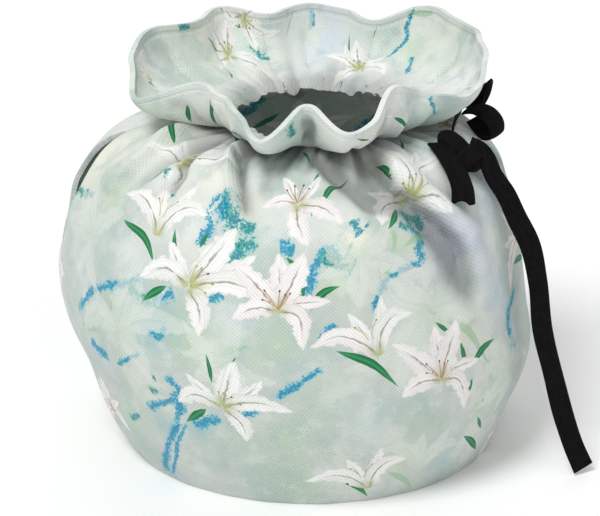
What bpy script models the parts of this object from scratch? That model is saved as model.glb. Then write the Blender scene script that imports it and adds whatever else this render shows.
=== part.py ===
"""Tea cosy of printed cloth: a round body on its hem, a gathered neck, a fluted frill and a ribbon tie.

Units are metres, +Z is up and the front faces -Y. Heights are measured from the table, azimuths in degrees
from the front, positive towards the handle side (+X). The origin is the middle of the footprint, on the table.
"""
import math

import bmesh
import bpy
import numpy as np
from mathutils import Vector

# Driving sizes
CLOTH = 0.0024                # thickness of the padded cloth
SEAM_GAP = 0.0006             # between the two panels where they are sewn
HEM_BAND = 0.004              # height of the upright hem
AXIS_X = -0.0071              # the body's axis, seen from the middle of the whole footprint
NECK_SHARE = 0.74             # share of the way from hem to frill edge at which the drawstring sits
RIBBON_WIDTH = 0.0098
RIBBON = 0.0010               # thickness of the ribbon
PANEL_COLUMNS = 46
BODY_ROWS = 18
FRILL_ROWS = 9

CLOTH_COLOUR = (0.72, 0.77, 0.73)
RIBBON_COLOUR = (0.012, 0.012, 0.013)

# Cross-sections of the body: height, radius and shift of the middle along X
BODY_SECTIONS = [
    {"height": 0.0000, "radius": 0.0835, "shift": 0.0005},
    {"height": 0.0100, "radius": 0.0885, "shift": -0.0005},
    {"height": 0.0220, "radius": 0.0935, "shift": -0.0010},
    {"height": 0.0420, "radius": 0.1005, "shift": -0.0005},
    {"height": 0.0680, "radius": 0.1045, "shift": -0.0065},
    {"height": 0.0940, "radius": 0.1030, "shift": -0.0080},
    {"height": 0.1170, "radius": 0.0960, "shift": -0.0065},
    {"height": 0.1370, "radius": 0.0820, "shift": -0.0050},
    {"height": 0.1485, "radius": 0.0620, "shift": -0.0010},
    {"height": 0.1500, "radius": 0.0380, "shift": 0.0030},
]

# Flutes of the frill's edge: azimuth, reach from the axis and height
FRILL_EDGE = [
    {"azimuth": -177, "reach": 0.0760, "height": 0.1780},
    {"azimuth": -160, "reach": 0.0680, "height": 0.1770},
    {"azimuth": -148, "reach": 0.0790, "height": 0.1795},
    {"azimuth": -129, "reach": 0.0725, "height": 0.1785},
    {"azimuth": -113, "reach": 0.0815, "height": 0.1800},
    {"azimuth": -97, "reach": 0.0830, "height": 0.1755},
    {"azimuth": -82, "reach": 0.0820, "height": 0.1680},
    {"azimuth": -74, "reach": 0.0820, "height": 0.1650},
    {"azimuth": -64, "reach": 0.0620, "height": 0.1740},
    {"azimuth": -50, "reach": 0.0570, "height": 0.1730},
    {"azimuth": -30, "reach": 0.0650, "height": 0.1680},
    {"azimuth": -17, "reach": 0.0770, "height": 0.1640},
    {"azimuth": -5, "reach": 0.0560, "height": 0.1740},
    {"azimuth": 9, "reach": 0.0750, "height": 0.1680},
    {"azimuth": 23, "reach": 0.0640, "height": 0.1680},
    {"azimuth": 36, "reach": 0.0560, "height": 0.1780},
    {"azimuth": 56, "reach": 0.0590, "height": 0.1715},
    {"azimuth": 74, "reach": 0.0700, "height": 0.1665},
    {"azimuth": 97, "reach": 0.0770, "height": 0.1755},
    {"azimuth": 108, "reach": 0.0780, "height": 0.1790},
    {"azimuth": 126, "reach": 0.0795, "height": 0.1800},
    {"azimuth": 145, "reach": 0.0805, "height": 0.1795},
    {"azimuth": 154, "reach": 0.0660, "height": 0.1755},
    {"azimuth": 167, "reach": 0.0700, "height": 0.1770},
]
FRILL_REACH = 0.077           # usual reach of the frill's edge
FRILL_CUP_REACH = 0.92        # how far out, and how high, the frill's bend lies between neck and edge
FRILL_CUP_RISE = 0.12

# Side seams: azimuth at the body and at the frill's edge, and the slit's lower and upper share and half width
SIDES = {
    "spout": {"body": -90, "edge": -97, "slit_low": 0.290, "slit_high": 0.600, "half_width": 0.017},
    "handle": {"body": 90, "edge": 103, "slit_low": 0.150, "slit_high": 0.610, "half_width": 0.014},
}

# Gathers at the drawstring: azimuth of each pleat's ridge and its height in metres
GATHERS = [
    {"azimuth": -170, "rise": 0.0014},
    {"azimuth": -148, "rise": 0.0016},
    {"azimuth": -128, "rise": 0.0013},
    {"azimuth": -107, "rise": 0.0016},
    {"azimuth": -72, "rise": 0.0015},
    {"azimuth": -52, "rise": 0.0013},
    {"azimuth": -33, "rise": 0.0017},
    {"azimuth": -10, "rise": 0.0014},
    {"azimuth": 12, "rise": 0.0016},
    {"azimuth": 31, "rise": 0.0015},
    {"azimuth": 50, "rise": 0.0017},
    {"azimuth": 71, "rise": 0.0014},
    {"azimuth": 112, "rise": 0.0016},
    {"azimuth": 131, "rise": 0.0013},
    {"azimuth": 153, "rise": 0.0016},
    {"azimuth": 172, "rise": 0.0013},
]
GATHER_WIDTH = 6.5            # half width of a pleat in degrees, at the neck
GATHER_BELOW = 0.11           # share of the height over which the pleats fade below and above the neck
GATHER_ABOVE = 0.16

# Folds of the body, each from its top to its foot, both as azimuth and share of the way up from the hem.
# The first two are the swells above the slits; a negative rise is a trough.
BODY_FOLDS = [
    {"top": (-90, 0.660), "foot": (-90, 0.440), "half_width": 38, "rise": 0.0035},
    {"top": (90, 0.660), "foot": (90, 0.500), "half_width": 34, "rise": 0.0020},
    {"top": (27, 0.700), "foot": (49, 0.470), "half_width": 4.0, "rise": 0.0022},
    {"top": (49, 0.470), "foot": (44, 0.310), "half_width": 5.5, "rise": 0.0020},
    {"top": (37, 0.690), "foot": (58, 0.470), "half_width": 5.0, "rise": -0.0024},
    {"top": (28, 0.640), "foot": (33, 0.580), "half_width": 2.6, "rise": 0.0010},
    {"top": (-37, 0.680), "foot": (-17, 0.530), "half_width": 3.2, "rise": -0.0016},
    {"top": (-46, 0.625), "foot": (-40, 0.550), "half_width": 3.2, "rise": -0.0013},
    {"top": (-76, 0.635), "foot": (-65, 0.530), "half_width": 4.5, "rise": 0.0020},
    {"top": (-62, 0.620), "foot": (-56, 0.480), "half_width": 5.0, "rise": -0.0014},
    {"top": (128, 0.680), "foot": (140, 0.480), "half_width": 4.5, "rise": 0.0018},
    {"top": (160, 0.690), "foot": (168, 0.500), "half_width": 5.0, "rise": -0.0018},
    {"top": (200, 0.680), "foot": (192, 0.520), "half_width": 4.0, "rise": 0.0016},
    {"top": (232, 0.680), "foot": (222, 0.460), "half_width": 5.0, "rise": -0.0016},
]

FOLD_OVERRUN = 0.25           # a fold runs on past its ends by this share of its length
FOLD_FADE = 0.35              # and fades over this share

# The ribbon's pieces: places along the middle line, x from the body's axis, and the direction across the width
TIE = {
    "tie_long_end": {
        "width": RIBBON_WIDTH,
        "steps": 30,
        "line": [
            {"x": 0.0770, "y": -0.0346, "z": 0.1417, "across": (0.45, 0.80, 0.10)},
            {"x": 0.0776, "y": -0.0350, "z": 0.1393, "across": (0.55, 0.70, 0.20)},
            {"x": 0.0800, "y": -0.0360, "z": 0.1355, "across": (0.60, 0.65, 0.25)},
            {"x": 0.0857, "y": -0.0385, "z": 0.1270, "across": (0.70, 0.55, 0.30)},
            {"x": 0.0904, "y": -0.0410, "z": 0.1173, "across": (0.75, 0.50, 0.25)},
            {"x": 0.0956, "y": -0.0440, "z": 0.1073, "across": (0.80, 0.50, 0.22)},
            {"x": 0.0999, "y": -0.0460, "z": 0.0892, "across": (0.82, 0.50, 0.15)},
            {"x": 0.1024, "y": -0.0480, "z": 0.0674, "across": (0.82, 0.52, 0.10)},
            {"x": 0.1078, "y": -0.0500, "z": 0.0457, "across": (0.82, 0.52, 0.15)},
            {"x": 0.1132, "y": -0.0510, "z": 0.0253, "across": (0.82, 0.50, 0.22)},
            {"x": 0.1176, "y": -0.0520, "z": 0.0125, "across": (0.82, 0.48, 0.28)},
            {"x": 0.1219, "y": -0.0530, "z": 0.0028, "across": (0.82, 0.46, 0.34)},
        ],
    },
    "tie_short_end": {
        "width": RIBBON_WIDTH,
        "steps": 14,
        "line": [
            {"x": 0.0535, "y": -0.0355, "z": 0.1512, "across": (0.72, 0.66, -0.05)},
            {"x": 0.0570, "y": -0.0400, "z": 0.1492, "across": (0.75, 0.62, -0.15)},
            {"x": 0.0607, "y": -0.0448, "z": 0.1455, "across": (0.80, 0.50, -0.25)},
            {"x": 0.0640, "y": -0.0495, "z": 0.1408, "across": (0.85, 0.42, -0.28)},
            {"x": 0.0662, "y": -0.0540, "z": 0.1358, "across": (0.88, 0.40, -0.20)},
            {"x": 0.0665, "y": -0.0585, "z": 0.1310, "across": (0.90, 0.40, -0.10)},
        ],
    },
    "tie_lead": {
        "width": RIBBON_WIDTH / 2,
        "steps": 16,
        "line": [
            {"x": 0.0627, "y": -0.0243, "z": 0.1514, "across": (0.10, 0.10, 1.00)},
            {"x": 0.0635, "y": -0.0160, "z": 0.1516, "across": (0.10, 0.05, 1.00)},
            {"x": 0.0645, "y": -0.0080, "z": 0.1514, "across": (0.20, 0.00, 1.00)},
            {"x": 0.0663, "y": 0.0010, "z": 0.1508, "across": (0.30, 0.00, 1.00)},
            {"x": 0.0681, "y": 0.0100, "z": 0.1500, "across": (0.30, 0.00, 1.00)},
        ],
    },
    "tie_loop_back": {
        "width": RIBBON_WIDTH,
        "steps": 20,
        "line": [
            {"x": 0.0697, "y": 0.0105, "z": 0.1498, "across": (0.84, 0.00, 0.54)},
            {"x": 0.0723, "y": 0.0118, "z": 0.1538, "across": (0.84, 0.00, 0.54)},
            {"x": 0.0753, "y": 0.0128, "z": 0.1576, "across": (0.84, 0.00, 0.54)},
            {"x": 0.0773, "y": 0.0148, "z": 0.1593, "across": (0.84, 0.00, 0.54)},
            {"x": 0.0775, "y": 0.0173, "z": 0.1573, "across": (0.84, 0.00, 0.54)},
            {"x": 0.0753, "y": 0.0183, "z": 0.1528, "across": (0.84, 0.00, 0.54)},
            {"x": 0.0723, "y": 0.0173, "z": 0.1488, "across": (0.84, 0.00, 0.54)},
        ],
    },
    "tie_loop_side": {
        "width": RIBBON_WIDTH,
        "steps": 26,
        "line": [
            {"x": 0.0695, "y": 0.0010, "z": 0.1524, "across": (0.66, 0.74, 0.10)},
            {"x": 0.0753, "y": -0.0020, "z": 0.1537, "across": (0.66, 0.74, 0.10)},
            {"x": 0.0798, "y": -0.0040, "z": 0.1517, "across": (0.66, 0.74, 0.10)},
            {"x": 0.0828, "y": -0.0055, "z": 0.1472, "across": (0.66, 0.74, 0.10)},
            {"x": 0.0825, "y": -0.0050, "z": 0.1424, "across": (0.66, 0.74, 0.10)},
            {"x": 0.0798, "y": -0.0030, "z": 0.1417, "across": (0.66, 0.74, 0.10)},
            {"x": 0.0758, "y": 0.0000, "z": 0.1447, "across": (0.66, 0.74, 0.10)},
            {"x": 0.0728, "y": 0.0022, "z": 0.1480, "across": (0.66, 0.74, 0.10)},
        ],
    },
}
KNOT = {
    "x": 0.0672,
    "y": -0.0325,
    "z": 0.1456,
    "length": 0.0184,
    "width": 0.0130,
    "depth": 0.0064,
    "turn": -28,
    "tip": 38,
}


def hermite(at, places, values):
    """Read a smooth curve through the table's points at the given places."""
    places = np.asarray(places, float)
    values = np.asarray(values, float)
    slopes = np.gradient(values, places)
    at = np.clip(at, places[0], places[-1])
    cell = np.clip(np.searchsorted(places, at, side="right") - 1, 0, len(places) - 2)
    span = places[cell + 1] - places[cell]
    t = (at - places[cell]) / span
    start = (2 * t**3 - 3 * t**2 + 1) * values[cell] + (t**3 - 2 * t**2 + t) * span * slopes[cell]
    end = (-2 * t**3 + 3 * t**2) * values[cell + 1] + (t**3 - t**2) * span * slopes[cell + 1]
    return start + end


def column(table, name):
    return np.array([row[name] for row in table], float)


def around(azimuth, table, name):
    """Read a closed curve round the axis."""
    places = column(table, "azimuth")
    values = column(table, name)
    places = np.concatenate([places - 360, places, places + 360])
    return hermite(azimuth, places, np.tile(values, 3))


def smooth(t):
    t = np.clip(t, 0, 1)
    return t * t * (3 - 2 * t)


def section_lengths():
    """Length along the profile from the hem to each body section."""
    steps = np.hypot(np.diff(column(BODY_SECTIONS, "height")), np.diff(column(BODY_SECTIONS, "radius")))
    return np.concatenate([[0], np.cumsum(steps)])


SECTION_LENGTHS = section_lengths()
BODY_LENGTH = SECTION_LENGTHS[-1]


def body_curve(share, name):
    return hermite(share / NECK_SHARE * BODY_LENGTH, SECTION_LENGTHS, column(BODY_SECTIONS, name))


def turn_between(azimuth, other):
    """Signed turn in degrees from one azimuth to another, within half a turn."""
    return (azimuth - other + 180) % 360 - 180


def gathers(azimuth, share):
    """Height of the neck's pleats."""
    below = smooth((share - NECK_SHARE + GATHER_BELOW) / GATHER_BELOW)
    above = smooth((NECK_SHARE + GATHER_ABOVE - share) / GATHER_ABOVE)
    total = 0
    for pleat in GATHERS:
        away = turn_between(azimuth, pleat["azimuth"]) / GATHER_WIDTH
        total = total + pleat["rise"] * np.exp(-away**2)
    return total * np.minimum(below, above)


def body_folds(azimuth, share):
    """Sum of the folds: a rounded ridge or trough along each line, fading at its ends."""
    total = 0
    for fold in BODY_FOLDS:
        top_azimuth, top_share = fold["top"]
        foot_azimuth, foot_share = fold["foot"]
        run = (share - top_share) / (foot_share - top_share)
        middle = top_azimuth + (foot_azimuth - top_azimuth) * np.clip(run, 0, 1)
        away = turn_between(azimuth, middle) / fold["half_width"]
        past_end = np.minimum(run + FOLD_OVERRUN, 1 + FOLD_OVERRUN - run)
        ends = smooth(past_end / FOLD_FADE)
        total = total + fold["rise"] * np.exp(-away**2) * ends
    return total


def cosy_surface(azimuth, share):
    """The cloth's outer face: azimuth in degrees, share from 0 at the hem to 1 at the frill's edge."""
    azimuth = np.asarray(azimuth, float)
    share = np.asarray(share, float)
    neck = BODY_SECTIONS[-1]
    body_share = np.minimum(share, NECK_SHARE)
    radius = body_curve(body_share, "radius")
    height = body_curve(body_share, "height")
    middle = body_curve(body_share, "shift")
    up = np.clip((share - NECK_SHARE) / (1 - NECK_SHARE), 0, 1)
    edge_reach = around(azimuth, FRILL_EDGE, "reach") - neck["radius"]
    edge_rise = around(azimuth, FRILL_EDGE, "height") - neck["height"]
    radius = radius + 2 * up * (1 - up) * FRILL_CUP_REACH * edge_reach + up**2 * edge_reach
    height = height + 2 * up * (1 - up) * FRILL_CUP_RISE * edge_rise + up**2 * edge_rise
    folds = gathers(azimuth, share) + body_folds(azimuth, share)
    radius = radius + folds
    angle = np.radians(azimuth)
    x = AXIS_X + middle + radius * np.sin(angle)
    return np.stack([x, -radius * np.cos(angle), height], -1)


def side_edge(side, share):
    """Azimuth of a side seam and half the opening there, both in degrees."""
    row = SIDES[side]
    up = np.clip((share - NECK_SHARE) / (1 - NECK_SHARE), 0, 1)
    seam = row["body"] + (row["edge"] - row["body"]) * smooth(up)
    neck_radius = BODY_SECTIONS[-1]["radius"]
    radius = body_curve(np.minimum(share, NECK_SHARE), "radius") + up * (FRILL_REACH - neck_radius)
    along = np.clip((share - row["slit_low"]) / (row["slit_high"] - row["slit_low"]), 0, 1)
    half = row["half_width"] * np.sin(math.pi * along) + SEAM_GAP / 2
    return seam, np.degrees(half / radius)


def row_shares(body_rows, frill_rows):
    """Shares of the rows from hem to frill edge; the first band is the upright hem."""
    hem = HEM_BAND / BODY_LENGTH * NECK_SHARE
    body = np.linspace(hem, NECK_SHARE, body_rows + 1)
    frill = np.linspace(NECK_SHARE, 1, frill_rows + 1)[1:]
    return np.concatenate([[0.0], body, frill])


def material(name, colour, roughness):
    made = bpy.data.materials.new(name)
    made.use_nodes = True
    shader = made.node_tree.nodes["Principled BSDF"]
    shader.inputs["Base Color"].default_value = (*colour, 1.0)
    shader.inputs["Roughness"].default_value = roughness
    shader.inputs["Metallic"].default_value = 0.0
    return made


def link(obj, collection, surface_material):
    collection.objects.link(obj)
    obj.data.materials.append(surface_material)
    obj.data.shade_smooth()
    return obj


def grid_object(name, columns, rows, place):
    """A grid whose corner shares (0 to 1 across and up) are moved to place(across, up)."""
    mesh = bpy.data.meshes.new(name)
    bm = bmesh.new()
    bmesh.ops.create_grid(bm, x_segments=columns, y_segments=rows, size=0.5)
    corners = np.array([vertex.co for vertex in bm.verts]) + 0.5
    places = place(np.round(corners[:, 0] * columns) / columns, np.round(corners[:, 1] * rows) / rows)
    for vertex, spot in zip(bm.verts, places):
        vertex.co = Vector(spot)
    bm.to_mesh(mesh)
    bm.free()
    return bpy.data.objects.new(name, mesh)


def thicken(obj, thickness, offset):
    shell = obj.modifiers.new("Thickness", "SOLIDIFY")
    shell.thickness = thickness
    shell.offset = offset


def panel(name, left, right, collection, cloth):
    """One cut piece of cloth, from its left side seam to its right one, hem to frill edge."""
    shares = row_shares(BODY_ROWS, FRILL_ROWS)
    full_turn = 360 if SIDES[right]["body"] < SIDES[left]["body"] else 0

    def place(across, up):
        share = np.interp(up, np.linspace(0, 1, len(shares)), shares)
        left_seam, left_half = side_edge(left, share)
        right_seam, right_half = side_edge(right, share)
        start = left_seam + left_half
        end = right_seam + full_turn - right_half
        spot = cosy_surface(start + (end - start) * across, share)
        on_hem = up < 0.5 / len(shares)
        above = cosy_surface(start + (end - start) * across, np.full_like(share, shares[1]))
        spot[on_hem, 0:2] = above[on_hem, 0:2]
        return spot

    obj = grid_object(name, PANEL_COLUMNS, len(shares) - 1, place)
    thicken(obj, CLOTH, -1)
    return link(obj, collection, cloth)


def ribbon(name, spec, collection, black):
    """A strip along its line; the direction across is squared to the line."""
    line = spec["line"]
    spots = np.array([[AXIS_X + row["x"], row["y"], row["z"]] for row in line])
    lengths = np.concatenate([[0], np.cumsum(np.linalg.norm(np.diff(spots, axis=0), axis=1))])
    along = lengths / lengths[-1]
    sides = np.array([row["across"] for row in line], float)

    def place(across, up):
        middle = np.stack([hermite(up, along, spots[:, axis]) for axis in range(3)], -1)
        ahead = np.stack([hermite(up + 0.01, along, spots[:, axis]) for axis in range(3)], -1)
        behind = np.stack([hermite(up - 0.01, along, spots[:, axis]) for axis in range(3)], -1)
        run = ahead - behind
        run = run / np.linalg.norm(run, axis=1, keepdims=True)
        side = np.stack([hermite(up, along, sides[:, axis]) for axis in range(3)], -1)
        side = side - run * (side * run).sum(axis=1, keepdims=True)
        side = side / np.linalg.norm(side, axis=1, keepdims=True)
        return middle + side * (across[:, None] - 0.5) * spec["width"]

    obj = grid_object(name, 2, spec["steps"], place)
    thicken(obj, RIBBON, 0)
    return link(obj, collection, black)


def knot(collection, black):
    """The ribbon's knot, a flattened rounded lump."""
    mesh = bpy.data.meshes.new("tie_knot")
    bm = bmesh.new()
    bmesh.ops.create_cube(bm, size=1.0)
    bmesh.ops.subdivide_edges(bm, edges=bm.edges[:], cuts=1, use_grid_fill=True)
    bmesh.ops.scale(bm, vec=(KNOT["length"], KNOT["width"], KNOT["depth"]), verts=bm.verts)
    bm.to_mesh(mesh)
    bm.free()
    obj = bpy.data.objects.new("tie_knot", mesh)
    obj.location = (AXIS_X + KNOT["x"], KNOT["y"], KNOT["z"])
    obj.rotation_euler = (0.0, math.radians(KNOT["tip"]), math.radians(KNOT["turn"]))
    round_off = obj.modifiers.new("Round", "SUBSURF")
    round_off.levels = 2
    round_off.render_levels = 2
    return link(obj, collection, black)


for old in list(bpy.data.objects):
    bpy.data.objects.remove(old, do_unlink=True)

cosy = bpy.data.collections.new("tea_cosy")
bpy.context.scene.collection.children.link(cosy)

panel("front_panel", "spout", "handle", cosy, material("front_cloth", CLOTH_COLOUR, 0.85))
panel("back_panel", "handle", "spout", cosy, material("back_cloth", CLOTH_COLOUR, 0.85))
for piece, spec in TIE.items():
    ribbon(piece, spec, cosy, material(piece + "_ribbon", RIBBON_COLOUR, 0.75))
knot(cosy, material("tie_knot_ribbon", RIBBON_COLOUR, 0.75))
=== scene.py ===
import math

import bmesh
import bpy
import numpy as np
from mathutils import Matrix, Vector


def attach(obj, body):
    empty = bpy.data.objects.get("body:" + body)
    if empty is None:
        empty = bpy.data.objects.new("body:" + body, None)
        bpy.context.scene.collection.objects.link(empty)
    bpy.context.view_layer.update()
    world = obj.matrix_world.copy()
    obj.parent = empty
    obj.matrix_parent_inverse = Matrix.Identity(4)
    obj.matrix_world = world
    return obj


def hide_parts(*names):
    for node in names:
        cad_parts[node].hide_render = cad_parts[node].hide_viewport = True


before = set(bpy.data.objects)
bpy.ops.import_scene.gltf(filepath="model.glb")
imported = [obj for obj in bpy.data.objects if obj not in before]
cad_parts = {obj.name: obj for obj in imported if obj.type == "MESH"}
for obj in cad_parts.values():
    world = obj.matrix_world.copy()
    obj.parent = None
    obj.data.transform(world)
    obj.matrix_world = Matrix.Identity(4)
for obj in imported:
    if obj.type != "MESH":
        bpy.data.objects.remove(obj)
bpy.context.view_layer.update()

# The studio: a plain white floor under a soft white sky, a big soft lamp from the upper left front, and
# weaker ones from the right and from behind. The camera stands in front of the cosy and looks down at it.
CAMERA_RISE = 22              # degrees
CAMERA_DISTANCE = 1.5
CAMERA_TARGET = (-0.0111, 0.0, 0.082)
CAMERA_LENS = 200
CAMERA_SENSOR = 36
LAMP_DISTANCE = 2.0
FLOOR_HALF = 4.0
FLOOR_COLOUR = (0.96, 0.96, 0.96)
SKY_STRENGTH = 0.38
SOFT_LAMPS = [
    {"name": "key_lamp", "azimuth": -38, "rise": 57, "spread": 24, "power": 1.88},
    {"name": "fill_lamp", "azimuth": 30, "rise": 30, "spread": 60, "power": 0.40},
    {"name": "back_lamp", "azimuth": 170, "rise": 60, "spread": 50, "power": 0.50},
]


def looking_from(azimuth, rise, distance):
    """Place on a ball round the camera's target, and the turn that looks back; azimuth 0 is in front."""
    turn = math.radians(azimuth)
    tilt = math.radians(rise)
    away = Vector((math.sin(turn) * math.cos(tilt), -math.cos(turn) * math.cos(tilt), math.sin(tilt)))
    return Vector(CAMERA_TARGET) + away * distance, away.to_track_quat("Z", "Y").to_euler()


camera = bpy.data.objects.new("camera", bpy.data.cameras.new("camera"))
camera.data.lens = CAMERA_LENS
camera.data.sensor_width = CAMERA_SENSOR
camera.data.clip_start = 0.05
camera.location, camera.rotation_euler = looking_from(0, CAMERA_RISE, CAMERA_DISTANCE)
bpy.context.scene.collection.objects.link(camera)
bpy.context.scene.camera = camera

for lamp_row in SOFT_LAMPS:
    lamp_data = bpy.data.lights.new(lamp_row["name"], "SUN")
    lamp_data.angle = math.radians(lamp_row["spread"])
    lamp_data.energy = lamp_row["power"]
    lamp = bpy.data.objects.new(lamp_row["name"], lamp_data)
    lamp.location, lamp.rotation_euler = looking_from(lamp_row["azimuth"], lamp_row["rise"], LAMP_DISTANCE)
    bpy.context.scene.collection.objects.link(lamp)

sky = bpy.data.worlds.new("white_sky")
sky.use_nodes = True
sky.node_tree.nodes["Background"].inputs["Color"].default_value = (1.0, 1.0, 1.0, 1.0)
sky.node_tree.nodes["Background"].inputs["Strength"].default_value = SKY_STRENGTH
bpy.context.scene.world = sky
bpy.context.scene.view_settings.view_transform = "Standard"


def new_material(name, roughness):
    """A matt finish; gives the material, its node tree and its shader."""
    made = bpy.data.materials.new(name)
    made.use_nodes = True
    shader = made.node_tree.nodes["Principled BSDF"]
    shader.inputs["Roughness"].default_value = roughness
    return made, made.node_tree, shader


floor_mesh = bpy.data.meshes.new("floor")
floor_bm = bmesh.new()
bmesh.ops.create_grid(floor_bm, x_segments=8, y_segments=8, size=FLOOR_HALF)
floor_bm.to_mesh(floor_mesh)
floor_bm.free()
floor = bpy.data.objects.new("floor", floor_mesh)
bpy.context.scene.collection.objects.link(floor)
floor_paint, floor_tree, floor_shader = new_material("floor_paint", 0.9)
floor_shader.inputs["Base Color"].default_value = (*FLOOR_COLOUR, 1.0)
floor_mesh.materials.append(floor_paint)

# The two panels, front and back. Each is one cut piece of padded canvas, printed with lilies on both faces,
# hemmed at the foot, gathered by the tie at the neck and left wide above it as a fluted frill. The panels are
# sewn to each other down both sides, with a slit left open on each side for the spout and the handle.
CLOTH = 0.0024                # thickness of the padded cloth
SEAM_GAP = 0.0002             # between the panels at their side seams
AXIS_X = -0.0071              # the body's axis, seen from the middle of the whole footprint
NECK_SHARE = 0.74             # share of the way from hem to frill edge at which the tie sits
FRILL_REACH = 0.077           # mean distance of the frill's edge from the axis
FRILL_LENGTH = 0.038          # of the print between the neck and the frill's edge
FRILL_CUP_REACH = 0.92        # how fast the frill spreads as it leaves the neck
FRILL_CUP_RISE = 0.12         # how fast it climbs there
FRILL_FULLNESS = 0.25         # extra width of the print in the gathered frill
FULLNESS_RUN = 0.06           # share of the cloth above the neck over which that width comes in
PANEL_COLUMNS = 250
BODY_ROWS = 120
FRILL_ROWS = 22
BORDER_ROWS = 12              # fine rows in the turned border of the frill
BORDER_SHARE = 0.030          # the border's share of the way from hem to frill edge

# The body from hem to neck: height, distance from the axis, and shift of the axis towards the handle
BODY_SECTIONS = [
    (0, 0.0835, 0.0005), (0.01, 0.0885, -0.0005), (0.022, 0.0935, -0.001), (0.042, 0.1005, -0.0005),
    (0.068, 0.1045, -0.0065), (0.094, 0.103, -0.008), (0.117, 0.096, -0.0065), (0.137, 0.082, -0.005),
    (0.1485, 0.062, -0.001), (0.15, 0.038, 0.003),
]

# The frill's fluted edge: azimuth, distance from the axis and height of each turn
FRILL_EDGE = [
    (-177, 0.076, 0.178), (-160, 0.068, 0.177), (-148, 0.079, 0.1795), (-129, 0.0725, 0.1785),
    (-113, 0.0815, 0.18), (-97, 0.083, 0.1755), (-82, 0.082, 0.168), (-74, 0.082, 0.165),
    (-64, 0.062, 0.174), (-50, 0.057, 0.173), (-30, 0.065, 0.168), (-17, 0.077, 0.164), (-5, 0.056, 0.174),
    (9, 0.075, 0.168), (23, 0.064, 0.168), (36, 0.056, 0.178), (56, 0.059, 0.1715), (74, 0.07, 0.1665),
    (97, 0.077, 0.1755), (108, 0.078, 0.179), (126, 0.0795, 0.18), (145, 0.0805, 0.1795),
    (154, 0.066, 0.1755), (167, 0.07, 0.177),
]

# Side seams: azimuth in the body and at the frill's edge, then the slit's ends as shares and its half width
SIDES = {
    "spout": {"body": -90, "edge": -97, "slit_low": 0.290, "slit_high": 0.600, "half_width": 0.017},
    "handle": {"body": 90, "edge": 103, "slit_low": 0.150, "slit_high": 0.610, "half_width": 0.014},
}

# Pleats at the neck: azimuth in degrees and height of each ridge
GATHERS = [
    (-170, 0.0014), (-148, 0.0016), (-128, 0.0013), (-107, 0.0016), (-72, 0.0015), (-52, 0.0013),
    (-33, 0.0017), (-10, 0.0014), (12, 0.0016), (31, 0.0015), (50, 0.0017), (71, 0.0014), (112, 0.0016),
    (131, 0.0013), (153, 0.0016), (172, 0.0013),
]
GATHER_WIDTH = 6.5            # degrees
GATHER_BELOW = 0.11           # shares of the cloth over which the pleats fade
GATHER_ABOVE = 0.16

# Broad folds of the body, as in the solid: half width in degrees, rise in metres, steep side, and the places
# along each from its top down, as azimuth and share. The steep side is 1 for the side towards the handle, -1
# for the side towards the spout, and 0 where both slopes are alike.
BODY_FOLDS = [
    (38, 0.0035, 0, [(-90, 0.66), (-90, 0.44)]),
    (34, 0.002, 0, [(90, 0.66), (90, 0.5)]),
    (4, 0.0022, 0, [(27, 0.7), (49, 0.47)]),
    (5.5, 0.002, 0, [(49, 0.47), (44, 0.31)]),
    (5, -0.0024, 0, [(37, 0.69), (58, 0.47)]),
    (2.6, 0.001, 0, [(28, 0.64), (33, 0.58)]),
    (3.2, -0.0016, 0, [(-37, 0.68), (-17, 0.53)]),
    (3.2, -0.0013, 0, [(-46, 0.625), (-40, 0.55)]),
    (4.5, 0.002, 0, [(-76, 0.635), (-65, 0.53)]),
    (5, -0.0014, 0, [(-62, 0.62), (-56, 0.48)]),
    (4.5, 0.0018, 0, [(128, 0.68), (140, 0.48)]),
    (5, -0.0018, 0, [(160, 0.69), (168, 0.5)]),
    (4, 0.0016, 0, [(200, 0.68), (192, 0.52)]),
    (5, -0.0016, 0, [(232, 0.68), (222, 0.46)]),
]
FOLD_OVERRUN = 0.25           # how far a fold runs on past its ends, in shares of its length
FOLD_FADE = 0.35              # and the part of it over which it fades
STEEP_SLOPE = 0.4             # width of a steep slope against a plain one

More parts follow.
